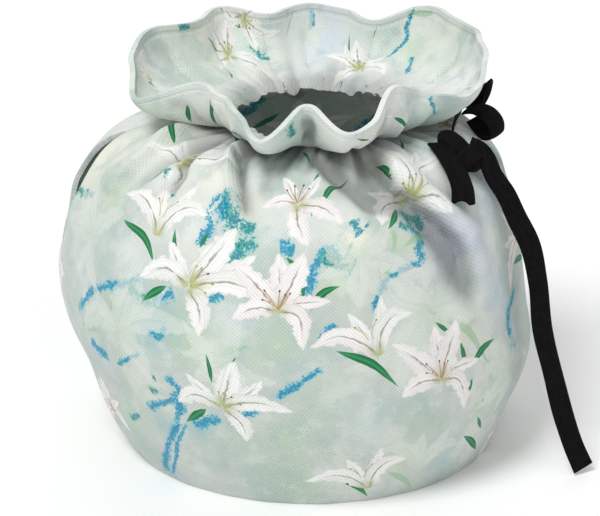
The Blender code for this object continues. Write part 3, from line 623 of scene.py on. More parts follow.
# Speckled veins of the marbled ground: places along each as azimuth and share, half width in metres, and how
# green they are, from 0 for bright blue to 1 for teal
PRINTED_VEINS = {
    "front": [
        ([(-25.3, 0.572), (-25, 0.553), (-24.7, 0.537), (-23.7, 0.528), (-24.7, 0.507),
          (-25.7, 0.487)], 0.0022, 0.1),
        ([(-23.3, 0.577), (-21.3, 0.56), (-18.7, 0.54), (-17, 0.527), (-17, 0.508), (-14.3, 0.495),
          (-15, 0.477), (-16.7, 0.458), (-18, 0.45)], 0.003, 0.55),
        ([(-15.7, 0.525), (-13.7, 0.525), (-11.3, 0.523)], 0.0024, 0.75),
        ([(-15.3, 0.503), (-12.3, 0.5), (-10, 0.493)], 0.0024, 0.6),
        ([(-23.7, 0.555), (-21, 0.542), (-19.7, 0.533)], 0.0036, 0.4),
        ([(-62.7, 0.312), (-57, 0.353), (-50.7, 0.378), (-45.3, 0.393), (-39.3, 0.415)], 0.0017, 0),
        ([(-42.7, 0.395), (-40, 0.385), (-37.7, 0.38), (-35.3, 0.387)], 0.0024, 0.9),
        ([(-35.3, 0.387), (-32, 0.393), (-29.3, 0.402)], 0.0024, 0.25),
        ([(-20.3, 0.405), (-18.3, 0.408), (-16.3, 0.413)], 0.0014, 0.1),
        ([(-3.7, 0.49), (-1.7, 0.493), (0, 0.492)], 0.002, 0), ([(-4, 0.502), (-1.3, 0.505)], 0.0013, 0.05),
        ([(-13.3, 0.447), (-11.7, 0.452), (-10.7, 0.453)], 0.0016, 0.05),
        ([(4, 0.418), (4.3, 0.438), (5.3, 0.463), (6.3, 0.478), (8.7, 0.492), (12, 0.478)], 0.0021, 0.05),
        ([(6.7, 0.472), (9.7, 0.475), (12.7, 0.468), (15.3, 0.46)], 0.0028, 0.8),
        ([(16.3, 0.537), (17, 0.522), (18, 0.512)], 0.002, 0.3),
        ([(19.7, 0.527), (20.3, 0.523)], 0.0011, 0.1),
        ([(32.7, 0.542), (35.3, 0.532), (38, 0.517), (38.3, 0.498)], 0.0019, 0.7),
        ([(34.7, 0.537), (34.3, 0.505), (36, 0.487), (34, 0.473), (34, 0.448)], 0.002, 0.35),
        ([(29.7, 0.518), (31.3, 0.512), (33.3, 0.513)], 0.0016, 0.85),
        ([(34, 0.448), (30.7, 0.448), (26.7, 0.442), (23.3, 0.43), (21.3, 0.408),
          (19.7, 0.387)], 0.0014, 0.1),
        ([(-32.3, 0.255), (-30.3, 0.235), (-32, 0.208), (-32, 0.188)], 0.0022, 0.05),
        ([(-31, 0.22), (-34.7, 0.203), (-37, 0.195), (-43.7, 0.172)], 0.0016, 0.05),
        ([(-31.7, 0.21), (-32.8, 0.19), (-33.8, 0.168), (-35.8, 0.14)], 0.0021, 0.05),
        ([(-34.3, 0.163), (-38, 0.117), (-42.7, 0.067), (-48.3, 0.015)], 0.0016, 0),
        ([(-32.3, 0.158), (-36, 0.112), (-40, 0.058), (-45.7, 0.012)], 0.0009, 0.1),
        ([(-29.7, 0.168), (-27, 0.173), (-24, 0.183), (-21.7, 0.19)], 0.0025, 0),
        ([(-15, 0.203), (-12.7, 0.21), (-10.7, 0.213)], 0.0013, 0),
        ([(-5, 0.242), (-1.7, 0.258), (3, 0.28), (6.7, 0.295)], 0.0015, 0),
        ([(-37, 0.245), (-36, 0.245)], 0.0014, 0.7), ([(-40, 0.217), (-37.3, 0.22)], 0.0015, 0.85),
        ([(-53.7, 0.122), (-48.7, 0.14)], 0.0014, 0.6),
        ([(-81, 0.448), (-82, 0.463), (-82.3, 0.482)], 0.0015, 0.4),
        ([(-82.3, 0.482), (-73.3, 0.493), (-68.3, 0.5)], 0.0015, 0.7),
        ([(-49.7, 0.59), (-48, 0.598)], 0.0022, 0.6), ([(-41, 0.552), (-41.7, 0.563)], 0.0014, 0.7),
        ([(-52.7, 0.532), (-52.3, 0.54)], 0.0018, 0.85),
        ([(7.3, 0.34), (8.7, 0.355), (11, 0.367)], 0.0018, 0.1), ([(63.3, 0.237), (67, 0.233)], 0.002, 0.4),
        ([(49, 0.172), (50, 0.172)], 0.0012, 0), ([(-59, 0.262), (-56, 0.252), (-52.3, 0.25)], 0.0026, 0.1),
        ([(-49, 0.245), (-43.7, 0.265), (-39, 0.285)], 0.0011, 0.15),
        ([(-35.7, 0.332), (-33, 0.325), (-30.7, 0.347)], 0.0014, 0.15),
        ([(56, 0.995), (57.5, 0.97), (63, 0.9)], 0.0009, 0.05),
        ([(-10, 0.985), (-9.5, 0.925)], 0.0014, 0.8), ([(-40, 0.9), (-36, 0.86)], 0.0016, 0.3),
        ([(70, 0.33), (64, 0.29), (66, 0.24)], 0.002, 0.05),
    ],
    "back": [
        ([(145.7, 1), (147, 0.958), (145.7, 0.91), (149, 0.868)], 0.0008, 0.05),
        ([(141, 0.862), (133, 0.815)], 0.0012, 0.1), ([(237, 0.995), (233, 0.995)], 0.0012, 0.7),
        ([(269, 0.94), (264, 0.895)], 0.0014, 0.8), ([(180, 0.98), (182, 0.93)], 0.0016, 0.2),
        ([(206, 0.9), (203, 0.85)], 0.0018, 0.6),
        ([(140, 0.56), (146, 0.5), (158, 0.47), (162, 0.4)], 0.0026, 0.2),
        ([(188, 0.54), (196, 0.48), (210, 0.47)], 0.003, 0.4),
        ([(130, 0.33), (142, 0.3), (150, 0.25), (148, 0.18)], 0.0026, 0.05),
        ([(216, 0.33), (206, 0.28), (196, 0.27), (190, 0.2)], 0.0022, 0),
        ([(228, 0.43), (240, 0.42), (250, 0.46)], 0.0028, 0.35),
        ([(168, 0.16), (176, 0.1), (174, 0.03)], 0.0026, 0.1),
        ([(240, 0.18), (230, 0.14), (226, 0.07)], 0.0024, 0.15),
        ([(120, 0.52), (112, 0.48), (108, 0.42)], 0.0022, 0.1),
    ],
}

# Soft washes of the ground: middle as azimuth and share, spread in metres, tint and strength
TINTS = {
    "cream": (0.84, 0.85, 0.72), "pearl": (0.72, 0.76, 0.74), "mint": (0.52, 0.72, 0.62),
    "sage": (0.47, 0.62, 0.45), "grey_green": (0.49, 0.6, 0.51), "sea": (0.41, 0.57, 0.57),
    "sky": (0.57, 0.68, 0.77), "lilac": (0.57, 0.61, 0.71), "teal": (0.24, 0.5, 0.55),
    # the grey tint paints the shade that falls under the frill round the neck
    "straw": (0.63, 0.7, 0.48), "painted_shade_grey": (0.46, 0.46, 0.45), "chalk": (0.86, 0.88, 0.86),
}
WASHES = [
    (-150, 0.88, 0.04, "chalk", 0.8), (-100, 0.88, 0.04, "chalk", 0.8), (-50, 0.88, 0.036, "chalk", 0.8),
    (0, 0.88, 0.036, "chalk", 0.8), (50, 0.88, 0.036, "chalk", 0.8), (100, 0.88, 0.04, "chalk", 0.8),
    # the grey washes in a ring round the neck are painted shade under the frill
    (155, 0.88, 0.04, "chalk", 0.8), (-78, 0.69, 0.012, "painted_shade_grey", 0.5), (-52, 0.69, 0.012, "painted_shade_grey", 0.7),
    (-30, 0.69, 0.012, "painted_shade_grey", 0.7), (-8, 0.68, 0.013, "painted_shade_grey", 0.7), (14, 0.68, 0.012, "painted_shade_grey", 0.7),
    (36, 0.69, 0.012, "painted_shade_grey", 0.6), (58, 0.69, 0.012, "painted_shade_grey", 0.5), (105, 0.69, 0.012, "painted_shade_grey", 0.5),
    (135, 0.69, 0.012, "painted_shade_grey", 0.6), (165, 0.69, 0.012, "painted_shade_grey", 0.6), (195, 0.69, 0.012, "painted_shade_grey", 0.6),
    (225, 0.69, 0.012, "painted_shade_grey", 0.6), (252, 0.69, 0.012, "painted_shade_grey", 0.5), (-81, 0.54, 0.014, "cream", 0.9),
    (-72, 0.6, 0.012, "cream", 0.9), (-62, 0.525, 0.008, "straw", 0.7), (-79, 0.46, 0.006, "mint", 0.8),
    (-61, 0.39, 0.014, "pearl", 0.7), (-45, 0.44, 0.01, "pearl", 0.8), (-41, 0.615, 0.005, "mint", 0.7),
    (-30, 0.6, 0.008, "cream", 0.8), (-31, 0.52, 0.01, "pearl", 0.9), (-15, 0.56, 0.009, "cream", 0.7),
    (-8, 0.515, 0.011, "pearl", 0.7), (-16, 0.49, 0.007, "mint", 0.7), (9, 0.53, 0.011, "pearl", 0.6),
    (16, 0.505, 0.009, "cream", 0.9), (12, 0.445, 0.007, "sage", 0.9), (29, 0.495, 0.006, "straw", 0.7),
    (34, 0.39, 0.012, "pearl", 0.5), (50, 0.455, 0.013, "lilac", 0.9), (62, 0.35, 0.012, "sky", 0.9),
    (67, 0.5, 0.01, "sky", 0.7), (44, 0.36, 0.008, "lilac", 0.6), (-35, 0.33, 0.009, "sea", 0.9),
    (-25, 0.325, 0.008, "sage", 0.9), (-16, 0.33, 0.011, "grey_green", 0.9),
    (-18, 0.357, 0.009, "grey_green", 0.8), (-28, 0.157, 0.007, "teal", 0.6),
    (-39, 0.38, 0.006, "teal", 0.7), (38, 0.363, 0.007, "sage", 0.8),
    (-47, 0.287, 0.007, "grey_green", 0.6), (-52, 0.345, 0.008, "grey_green", 0.5),
    (-36, 0.352, 0.012, "teal", 0.65), (-24, 0.345, 0.013, "grey_green", 0.9),
    (-12, 0.375, 0.01, "pearl", 0.6), (-46, 0.195, 0.014, "grey_green", 0.8),
    (-60, 0.06, 0.013, "grey_green", 0.8), (-62, 0.4, 0.012, "pearl", 0.6), (12, 0.447, 0.01, "sage", 0.4),
    (43, 0.49, 0.012, "lilac", 0.8), (-43, 0.325, 0.01, "straw", 0.4), (-32, 0.352, 0.006, "teal", 0.9),
    (-58, 0.252, 0.005, "sky", 0.9), (-24, 0.355, 0.008, "grey_green", 0.8),
    (-21, 0.315, 0.008, "straw", 0.5), (-12, 0.38, 0.009, "sea", 0.6), (-4, 0.338, 0.008, "straw", 0.8),
    (-45, 0.2, 0.009, "grey_green", 0.6), (-54, 0.122, 0.007, "sage", 0.8), (-39, 0.145, 0.006, "sea", 0.8),
    (-54, 0.215, 0.006, "lilac", 0.7), (-17, 0.145, 0.014, "grey_green", 0.7),
    (-4, 0.167, 0.011, "sage", 0.6), (7, 0.238, 0.012, "grey_green", 0.7), (16, 0.185, 0.012, "sea", 0.7),
    (4, 0.312, 0.007, "pearl", 0.6), (29, 0.168, 0.011, "grey_green", 0.7),
    (25, 0.097, 0.009, "straw", 0.5), (43, 0.05, 0.009, "sea", 0.7), (46, 0.315, 0.007, "straw", 0.7),
    (57, 0.202, 0.008, "sage", 0.9), (51, 0.163, 0.007, "sage", 0.9), (66, 0.263, 0.006, "sky", 0.7),
    (-2, 0.06, 0.012, "sage", 0.7), (-31, 0.057, 0.006, "pearl", 0.6), (-42, 0.018, 0.005, "lilac", 0.7),
    # the grey washes here are more painted shade under the frill, just below the neck
    (-8, 0.672, 0.012, "painted_shade_grey", 0.7), (15, 0.637, 0.01, "painted_shade_grey", 0.6), (-40, 0.66, 0.01, "painted_shade_grey", 0.5),
    (40, 0.64, 0.01, "lilac", 0.5), (150, 0.56, 0.02, "cream", 0.7), (205, 0.4, 0.02, "pearl", 0.7),
    (120, 0.33, 0.018, "sage", 0.6), (180, 0.15, 0.022, "grey_green", 0.6), (240, 0.25, 0.02, "sky", 0.6),
    (240, 0.56, 0.018, "cream", 0.7), (168, 0.33, 0.012, "sea", 0.6), (138, 0.43, 0.012, "lilac", 0.6),
    (222, 0.44, 0.012, "straw", 0.6), (190, 0.59, 0.012, "mint", 0.6), (110, 0.48, 0.014, "sky", 0.7),
    (104, 0.22, 0.014, "straw", 0.5), (250, 0.42, 0.012, "mint", 0.6), (200, 0.25, 0.012, "teal", 0.5),
    (130, 0.1, 0.016, "sea", 0.6), (230, 0.9, 0.02, "cream", 0.8), (206, 0.88, 0.012, "mint", 0.7),
    (176, 0.9, 0.016, "sky", 0.7), (140, 0.88, 0.012, "sage", 0.7), (122, 0.92, 0.014, "cream", 0.6),
    (156, 0.96, 0.01, "mint", 0.6), (60, 0.9, 0.014, "mint", 0.6), (20, 0.9, 0.012, "cream", 0.7),
    (-10, 0.9, 0.014, "mint", 0.6), (-40, 0.92, 0.012, "cream", 0.7), (-70, 0.9, 0.014, "sage", 0.5),
    (-90, 0.95, 0.012, "sage", 0.6),
]
GROUND_COLOUR = (0.560, 0.615, 0.570)
THREAD_HALF_WIDTH = 0.00022   # of a stamen
SLOTS = {"vein": 2, "blade": 6, "thread": 3}    # drawn lines of each kind that may lie over each other
NOT_PRINTED = -9.0            # far off every drawn line
DRAWN_MARGIN = 0.006          # how far round a motif the cloth is searched for it
LILY_REACH = 1.6              # of the longest petal, in shares of the flower's size
SHORT_LEAF = 0.016            # a leaf shorter than this is drawn slimmer


def smooth_line(spots, count=14):
    """Points along a smooth curve through a few given ones."""
    spots = np.array(spots, float)
    steps = np.linalg.norm(np.diff(spots, axis=0), axis=1)
    at = np.concatenate([[0], np.cumsum(steps)])
    fine = np.linspace(0, at[-1], count)
    return np.stack([hermite(fine, at, spots[:, axis]) for axis in range(spots.shape[1])], -1)


def along_and_across(flat, line):
    """Share along a drawn line and signed distance to its side, for places on the flat cloth."""
    steps = np.diff(line, axis=0)
    lengths = np.linalg.norm(steps, axis=1)
    starts = np.concatenate([[0], np.cumsum(lengths)])
    best = np.full(len(flat), np.inf)
    along = np.zeros(len(flat))
    across = np.zeros(len(flat))
    last = len(steps) - 1
    for k, step in enumerate(steps):
        unit = step / lengths[k]
        rest = flat - line[k]
        forward = rest @ unit
        low = -np.inf if k == 0 else 0
        high = np.inf if k == last else lengths[k]
        held = np.clip(forward, low, high)
        sideways = unit[0] * rest[:, 1] - unit[1] * rest[:, 0]
        gap = np.hypot(sideways, forward - held)
        closer = gap < best
        best = np.where(closer, gap, best)
        along = np.where(closer, (starts[k] + held) / starts[-1], along)
        across = np.where(closer, np.where(sideways < 0, -1, 1) * gap, across)
    return along, across


class PrintSheet:
    """Collects which petals, leaves, threads and veins are printed on each little square of a panel."""

    def __init__(self, azimuth, share, faces):
        self.azimuth = azimuth
        self.share = share
        self.faces = faces
        self.rows = {kind: np.full((count, len(faces), 4, 3), NOT_PRINTED) for kind, count in SLOTS.items()}
        self.used = {kind: np.zeros(len(faces), int) for kind in self.rows}

    def laid_flat(self, azimuth, share, middle):
        """Places of the cloth as lengths round it and up it from a middle place."""
        share = np.asarray(share, float)
        turn = np.radians(turn_between(np.asarray(azimuth, float), middle[0]))
        rise = cloth_length(share) - cloth_length(np.array(middle[1], float))
        return np.stack([turn * print_radius(share), rise], -1)

    def around(self, middle, reach):
        """All corners laid flat round a middle place, and which of them are near it."""
        flat = self.laid_flat(self.azimuth, self.share, middle)
        return flat, np.linalg.norm(flat, axis=1) < reach

    def press(self, kind, flat, near, line, half_width, code, margin=1.4):
        """Print one drawn line, with its width, over what is there already."""
        along, across = along_and_across(flat, line)
        across = across / half_width
        covered = near & (np.abs(across) < margin) & (along > -0.12) & (along < 1.12)
        hit = np.nonzero(covered[self.faces].any(axis=1) & near[self.faces].all(axis=1))[0]
        if len(hit) == 0:
            return
        rows = self.rows[kind]
        used = self.used[kind]
        full = hit[used[hit] == len(rows)]
        if len(full):
            rows[:-1, full] = rows[1:, full]
            used[full] -= 1
        corners = self.faces[hit]
        values = np.stack([along[corners], across[corners], np.full(corners.shape, float(code))], -1)
        rows[used[hit], hit] = values
        used[hit] += 1

    def lily(self, motif, azimuth, share, size, turn, pale, seed):
        """Print one flower, its petals from the lowest up and then its stamens."""
        spec = LILIES[motif]
        flat, near = self.around((azimuth, share), size * LILY_REACH + DRAWN_MARGIN)
        angle = math.radians(turn)
        spin = np.array([[math.cos(angle), math.sin(angle)], [-math.sin(angle), math.cos(angle)]])
        for k, (spots, half_width) in enumerate(spec["petals"]):
            line = smooth_line(np.array(spots) @ spin * size)
            # a seed of its own for each petal, under one half, or over it in a rosy flower
            tint = (0.05 + 0.43 * ((seed * 0.37 + k * 0.29) % 1)) + 0.5 * spec["warm"]
            code = min(tint, 0.98) + (2 if pale else 0)
            self.press("blade", flat, near, line, half_width * size, code)
        if pale:
            return
        for k, spots in enumerate(spec["threads"]):
            line = smooth_line(np.array(spots) @ spin * size)
            code = 0.2 + 0.5 * spec["warm"] + (2 if k == 2 else 0)
            self.press("thread", flat, near, line, THREAD_HALF_WIDTH, code, margin=6.0)

    def leaf(self, root_azimuth, root_share, tip_azimuth, tip_share, half_width, bend, pale, seed):
        """Print one leaf; a short one is drawn slimmer and longer, so that it keeps its point."""
        middle = ((root_azimuth + tip_azimuth) / 2, (root_share + tip_share) / 2)
        root, tip = self.laid_flat([root_azimuth, tip_azimuth], [root_share, tip_share], middle)
        short = smooth((SHORT_LEAF - np.linalg.norm(tip - root)) / 0.008)
        half_width = half_width * (1 - 0.30 * short) * (1 - 0.30 * smooth((middle[1] - 0.52) / 0.08))
        centre = (root + tip) / 2
        stretched = (tip - root) / 2 * (1 + 0.5 * short)
        root = centre - stretched
        tip = centre + stretched
        flat, near = self.around(middle, np.linalg.norm(tip - root) * 0.8 + DRAWN_MARGIN)
        run = (tip - root) / np.linalg.norm(tip - root)
        half_way = (root + tip) / 2 + np.array([-run[1], run[0]]) * bend
        line = smooth_line([root, half_way, tip])
        self.press("blade", flat, near, line, half_width, 1 + (seed * 0.41) % 0.95 + (2 if pale else 0))

    def vein(self, places, half_width, green):
        """Print one wandering vein of the ground."""
        places = np.array(places, float)
        middle = places.mean(axis=0)
        spots = self.laid_flat(places[:, 0], places[:, 1], middle)
        flat, near = self.around(middle, np.linalg.norm(spots, axis=1).max() + 2 * DRAWN_MARGIN)
        self.press("vein", flat, near, smooth_line(spots), half_width, green, margin=2.4)


def store(mesh, name, values):
    """Keep one row of values for every corner of the mesh."""
    layer = mesh.attributes.new(name, "FLOAT_VECTOR", "CORNER")
    layer.data.foreach_set("vector", np.ascontiguousarray(values, np.float32).ravel())


def washed_ground(spots):
    """Colour of the ground's broad washes at each place."""
    colour = np.tile(np.array(GROUND_COLOUR), (len(spots), 1))
    for azimuth, share, spread, tint, strength in WASHES:
        middle = cosy_surface(np.array([float(azimuth)]), np.array([float(share)]))[0]
        weight = strength * np.exp(-(np.linalg.norm(spots - middle, axis=1) / spread)**2)
        colour = colour + (np.array(TINTS[tint]) - colour) * weight[:, None]
    return colour


WEAVE_RADIUS = 0.095          # mean distance from the axis, which sets the weave's width
EDGE_ROUNDING = 0.00095       # of the turned edges
EDGE_ANGLE = 58


def panel(name, face, left, right):
    """One cut piece of cloth, from its left side seam to its right one, hem to frill edge."""
    full_turn = 360 if SIDES[right]["body"] < SIDES[left]["body"] else 0

    def cut(across, up):
        share = np.interp(up, np.linspace(0, 1, len(PANEL_SHARES)), PANEL_SHARES)
        left_seam, left_half = side_edge(left, share)
        right_seam, right_half = side_edge(right, share)
        start = left_seam + left_half
        azimuth = start + (right_seam + full_turn - right_half - start) * across
        return azimuth, share

    def place(across, up):
        azimuth, share = cut(across, up)
        outward = facing(azimuth, share)
        rise = fine_rise(azimuth, share) - STITCH_DIP * border_dip(share)
        spot = cosy_surface(azimuth, share) + outward * rise[:, None]
        spot[:, 2] = np.where(share == 0, 0.0, np.maximum(spot[:, 2], LOWEST))
        return spot

    obj, across, up = grid_object(name, PANEL_COLUMNS, len(PANEL_SHARES) - 1, place)
    mesh = obj.data
    azimuth, share = cut(across, up)
    spots = cosy_surface(azimuth, share)
    faces = np.empty(len(mesh.loops), np.int32)
    mesh.loops.foreach_get("vertex_index", faces)
    faces = faces.reshape(-1, 4)
    sheet = PrintSheet(azimuth, share, faces)
    for row in PRINTED_VEINS[face]:
        sheet.vein(*row)
    for pale in (True, False):
        for seed, row in enumerate(PRINTED_LEAVES[face]):
            if row[-1] == pale:
                sheet.leaf(*row, seed)
        for seed, row in enumerate(PRINTED_LILIES[face]):
            if row[-1] == pale:
                sheet.lily(*row, seed)
    for kind, rows in sheet.rows.items():
        for slot, values in enumerate(rows):
            store(mesh, f"{kind}_{slot + 1}", values)
    wash = mesh.attributes.new("wash", "FLOAT_VECTOR", "POINT")
    wash.data.foreach_set("vector", washed_ground(spots).astype(np.float32).ravel())
    # the strength of the painted shade in the creases and under the frill
    painted_fold_shade = mesh.attributes.new("painted_fold_shade", "FLOAT", "POINT")
    painted_fold_shade.data.foreach_set("value", painted_shade_in_folds(azimuth, share).astype(np.float32))
    weave = mesh.uv_layers.new(name="weave")
    flat = np.stack([np.radians(azimuth) * WEAVE_RADIUS, cloth_length(share)], -1)
    weave.data.foreach_set("uv", flat[faces.ravel()].astype(np.float32).ravel())
    obj.vertex_groups.new(name="thickness")
    thin = 1 - 2 * STITCH_DIP / CLOTH * border_dip(share)
    for index, value in enumerate(thin):
        obj.vertex_groups["thickness"].add([index], float(value), "REPLACE")
    shell = obj.modifiers.new("Padding", "SOLIDIFY")
    shell.thickness = CLOTH
    shell.offset = -1
    shell.vertex_group = "thickness"
    edge = obj.modifiers.new("Rounded edges", "BEVEL")
    edge.width = EDGE_ROUNDING
    edge.segments = 3
    edge.limit_method = "ANGLE"
    edge.angle_limit = math.radians(EDGE_ANGLE)
    obj.data.materials.append(printed_cloth)
    return obj


def new_group(name, inputs, outputs):
    """A shader node group with named sockets; gives its tree, its input node and its output node."""
    tree = bpy.data.node_groups.new(name, "ShaderNodeTree")
    for socket, kind in inputs:
        tree.interface.new_socket(name=socket, in_out="INPUT", socket_type=kind)
    for socket, kind in outputs:
        tree.interface.new_socket(name=socket, in_out="OUTPUT", socket_type=kind)
    return tree, tree.nodes.new("NodeGroupInput"), tree.nodes.new("NodeGroupOutput")


def feed(tree, socket, value):
    """Join a socket to another one, or set it to a plain value."""
    if isinstance(value, bpy.types.NodeSocket):
        tree.links.new(value, socket)
    elif isinstance(value, tuple) and len(value) == 3 and socket.type == "RGBA":
        socket.default_value = (*value, 1.0)
    else:
        socket.default_value = value


def sum_up(tree, operation, *values):
    """One step of arithmetic on values that change over the surface."""
    made = tree.nodes.new("ShaderNodeMath")
    made.operation = operation
    for socket, value in zip(made.inputs, values):
        feed(tree, socket, value)
    return made.outputs[0]


def times(tree, first, second):
    return sum_up(tree, "MULTIPLY", first, second)


def plus(tree, first, second):
    return sum_up(tree, "ADD", first, second)


def minus(tree, first, second):
    return sum_up(tree, "SUBTRACT", first, second)


def step_between(tree, value, low, high, start=0.0, end=1.0):
    """A smooth change from start to end while the value goes from low to high."""
    made = tree.nodes.new("ShaderNodeMapRange")
    made.interpolation_type = "SMOOTHSTEP"
    parts = {"Value": value, "From Min": low, "From Max": high, "To Min": start, "To Max": end}
    for name, part in parts.items():
        feed(tree, made.inputs[name], part)
    return made.outputs["Result"]


def blend_colours(tree, share, first, second):
    """The first colour where the share is 0 and the second where it is 1."""
    made = tree.nodes.new("ShaderNodeMix")
    made.data_type = "RGBA"
    feed(tree, made.inputs["Factor"], share)
    feed(tree, made.inputs[6], first)
    feed(tree, made.inputs[7], second)
    return made.outputs[2]


def wavering(tree, at, scale, detail=2.0):
    """Noise along a single value."""
    made = tree.nodes.new("ShaderNodeTexNoise")
    made.noise_dimensions = "1D"
    feed(tree, made.inputs["W"], at)
    made.inputs["Scale"].default_value = scale
    made.inputs["Detail"].default_value = detail
    return made.outputs["Fac"]


def cloudy(tree, place, scale, detail=2.0, roughness=0.5):
    """Noise in space."""
    made = tree.nodes.new("ShaderNodeTexNoise")
    feed(tree, made.inputs["Vector"], place)
    made.inputs["Scale"].default_value = scale
    made.inputs["Detail"].default_value = detail
    made.inputs["Roughness"].default_value = roughness
    return made.outputs["Fac"]


def apart(tree, packed):
    """The three values that one colour or vector carries."""
    made = tree.nodes.new("ShaderNodeSeparateColor")
    feed(tree, made.inputs[0], packed)
    return made.outputs[0], made.outputs[1], made.outputs[2]


# The inks of the print
INKS = {
    "petal_white": (0.910, 0.915, 0.895), "rosy_white": (0.905, 0.893, 0.880),
    "petal_grey": (0.620, 0.640, 0.590), "rosy_grey": (0.690, 0.640, 0.610),
    "petal_line": (0.200, 0.225, 0.130), "rosy_line": (0.230, 0.190, 0.140),
    "throat": (0.400, 0.430, 0.110), "leaf_rib": (0.060, 0.380, 0.160),
    "leaf_deep": (0.010, 0.140, 0.045), "leaf_green": (0.020, 0.215, 0.080),
    "pale_petal": (0.700, 0.760, 0.700), "pale_leaf": (0.290, 0.560, 0.290),
    "pale_shade": (0.480, 0.620, 0.500), "dark_anther": (0.025, 0.050, 0.060),
    "stalk": (0.430, 0.430, 0.100), "rosy_stalk": (0.430, 0.170, 0.090),
    "anther": (0.380, 0.330, 0.050), "rosy_anther": (0.250, 0.065, 0.030),
    "vein_blue": (0.000, 0.255, 0.430), "vein_teal": (0.004, 0.250, 0.250),
    "light_blue": (0.130, 0.500, 0.640), "light_teal": (0.200, 0.520, 0.460),
    "cloud_cream": (0.78, 0.80, 0.73), "cloud_green": (0.42, 0.55, 0.48),
    "mist_white": (0.74, 0.77, 0.77), "mist_sea": (0.41, 0.52, 0.53),
}

# One petal or leaf of the print, drawn from its share along and across it. The code's whole part tells a leaf
# (odd) from a petal (even) and a pale one (2 or more); its fraction is the seed, over one half for a rosy
# petal. b_edge is how far inside the outline a place lies; the outline is a lens with a ruffled margin.
blade, blade_in, blade_out = new_group(
    "printed_blade",
    [("Place", "NodeSocketColor")],
    [("Colour", "NodeSocketColor"), ("Mask", "NodeSocketFloat")],
)
b_along, b_across, b_code = apart(blade, blade_in.outputs["Place"])
b_seed = sum_up(blade, "FRACT", b_code)
b_leaf = sum_up(blade, "GREATER_THAN", sum_up(blade, "MODULO", b_code, 2.0), 0.999)
b_pale = sum_up(blade, "GREATER_THAN", b_code, 1.999)
b_rosy = sum_up(blade, "GREATER_THAN", b_seed, 0.5)
b_rosy = times(blade, b_rosy, minus(blade, 1.0, b_leaf))
b_inside = sum_up(blade, "MINIMUM", sum_up(blade, "MAXIMUM", b_along, 0.0), 1.0)
b_left = minus(blade, 1.0, b_inside)
b_rounding = sum_up(blade, "MULTIPLY_ADD", b_leaf, 0.35, 0.60)
b_pointing = sum_up(blade, "MULTIPLY_ADD", b_leaf, 0.40, 0.85)
b_lens = sum_up(blade, "POWER", b_inside, b_rounding)
b_lens = times(blade, b_lens, sum_up(blade, "POWER", b_left, b_pointing))
b_lens = times(blade, b_lens, sum_up(blade, "MULTIPLY_ADD", b_leaf, 1.90, 2.50))
b_wide = sum_up(blade, "ABSOLUTE", b_across)
b_side = sum_up(blade, "SIGN", b_across)
b_own = times(blade, b_seed, 90.0)
b_margin = sum_up(blade, "MULTIPLY_ADD", b_along, 7.0, sum_up(blade, "MULTIPLY_ADD", b_side, 20.0, b_own))
b_ruffle = minus(blade, wavering(blade, b_margin, 1.0), 0.5)
b_ruffle = times(blade, b_ruffle, sum_up(blade, "MULTIPLY_ADD", b_leaf, -0.75, 0.95))
b_edge = sum_up(blade, "MULTIPLY_ADD", b_lens, b_ruffle, b_lens)
b_edge = minus(blade, b_edge, b_wide)
b_mask = step_between(blade, b_edge, 0.0, 0.10)
b_streak = wavering(blade, sum_up(blade, "MULTIPLY_ADD", b_across, 5.5, b_own), 1.0)
b_line_bend = minus(blade, b_across, times(blade, b_ruffle, 0.25))
b_line = step_between(blade, sum_up(blade, "ABSOLUTE", b_line_bend), 0.11, 0.03)
b_line_start = step_between(blade, b_along, 0.02, 0.16)
b_line_run = times(blade, b_line_start, step_between(blade, b_along, 0.86, 0.45))
b_line = times(blade, b_line, b_line_run)
b_shade = times(blade, step_between(blade, b_streak, 0.40, 0.72), 0.35)
b_rim = step_between(blade, b_edge, 0.34, 0.02, 0.0, 0.34)
b_half = step_between(blade, b_across, -0.15, 0.45, 0.0, 0.22)
b_shade = plus(blade, b_shade, plus(blade, b_rim, b_half))
b_base_shade = step_between(blade, b_along, 0.42, 0.05, 0.0, 0.35)
b_shade = plus(blade, b_shade, b_base_shade)
b_petal_white = blend_colours(blade, b_rosy, INKS["petal_white"], INKS["rosy_white"])
b_petal_grey = blend_colours(blade, b_rosy, INKS["petal_grey"], INKS["rosy_grey"])
b_petal = blend_colours(blade, b_shade, b_petal_white, b_petal_grey)
b_throat = step_between(blade, b_along, 0.30, 0.02, 0.0, 0.75)
b_throat = times(blade, b_throat, step_between(blade, b_wide, 0.55, 0.05))
b_petal = blend_colours(blade, b_throat, b_petal, INKS["throat"])
b_line_colour = blend_colours(blade, b_rosy, INKS["petal_line"], INKS["rosy_line"])
b_petal = blend_colours(blade, times(blade, b_line, 0.72), b_petal, b_line_colour)
b_stripe = step_between(blade, b_streak, 0.35, 0.65)
b_green = blend_colours(blade, b_stripe, INKS["leaf_deep"], INKS["leaf_green"])
b_rib = step_between(blade, b_wide, 0.45, 0.12, 0.0, 0.55)
b_green = blend_colours(blade, b_rib, b_green, INKS["leaf_rib"])
b_colour = blend_colours(blade, b_leaf, b_petal, b_green)
b_pale_colour = blend_colours(blade, b_leaf, INKS["pale_petal"], INKS["pale_leaf"])
b_pale_colour = blend_colours(blade, times(blade, b_shade, 0.55), b_pale_colour, INKS["pale_shade"])
b_colour = blend_colours(blade, times(blade, b_pale, 0.85), b_colour, b_pale_colour)
b_mask = times(blade, b_mask, sum_up(blade, "MULTIPLY_ADD", b_pale, -0.45, 1.0))
blade.links.new(b_colour, blade_out.inputs["Colour"])
blade.links.new(b_mask, blade_out.inputs["Mask"])

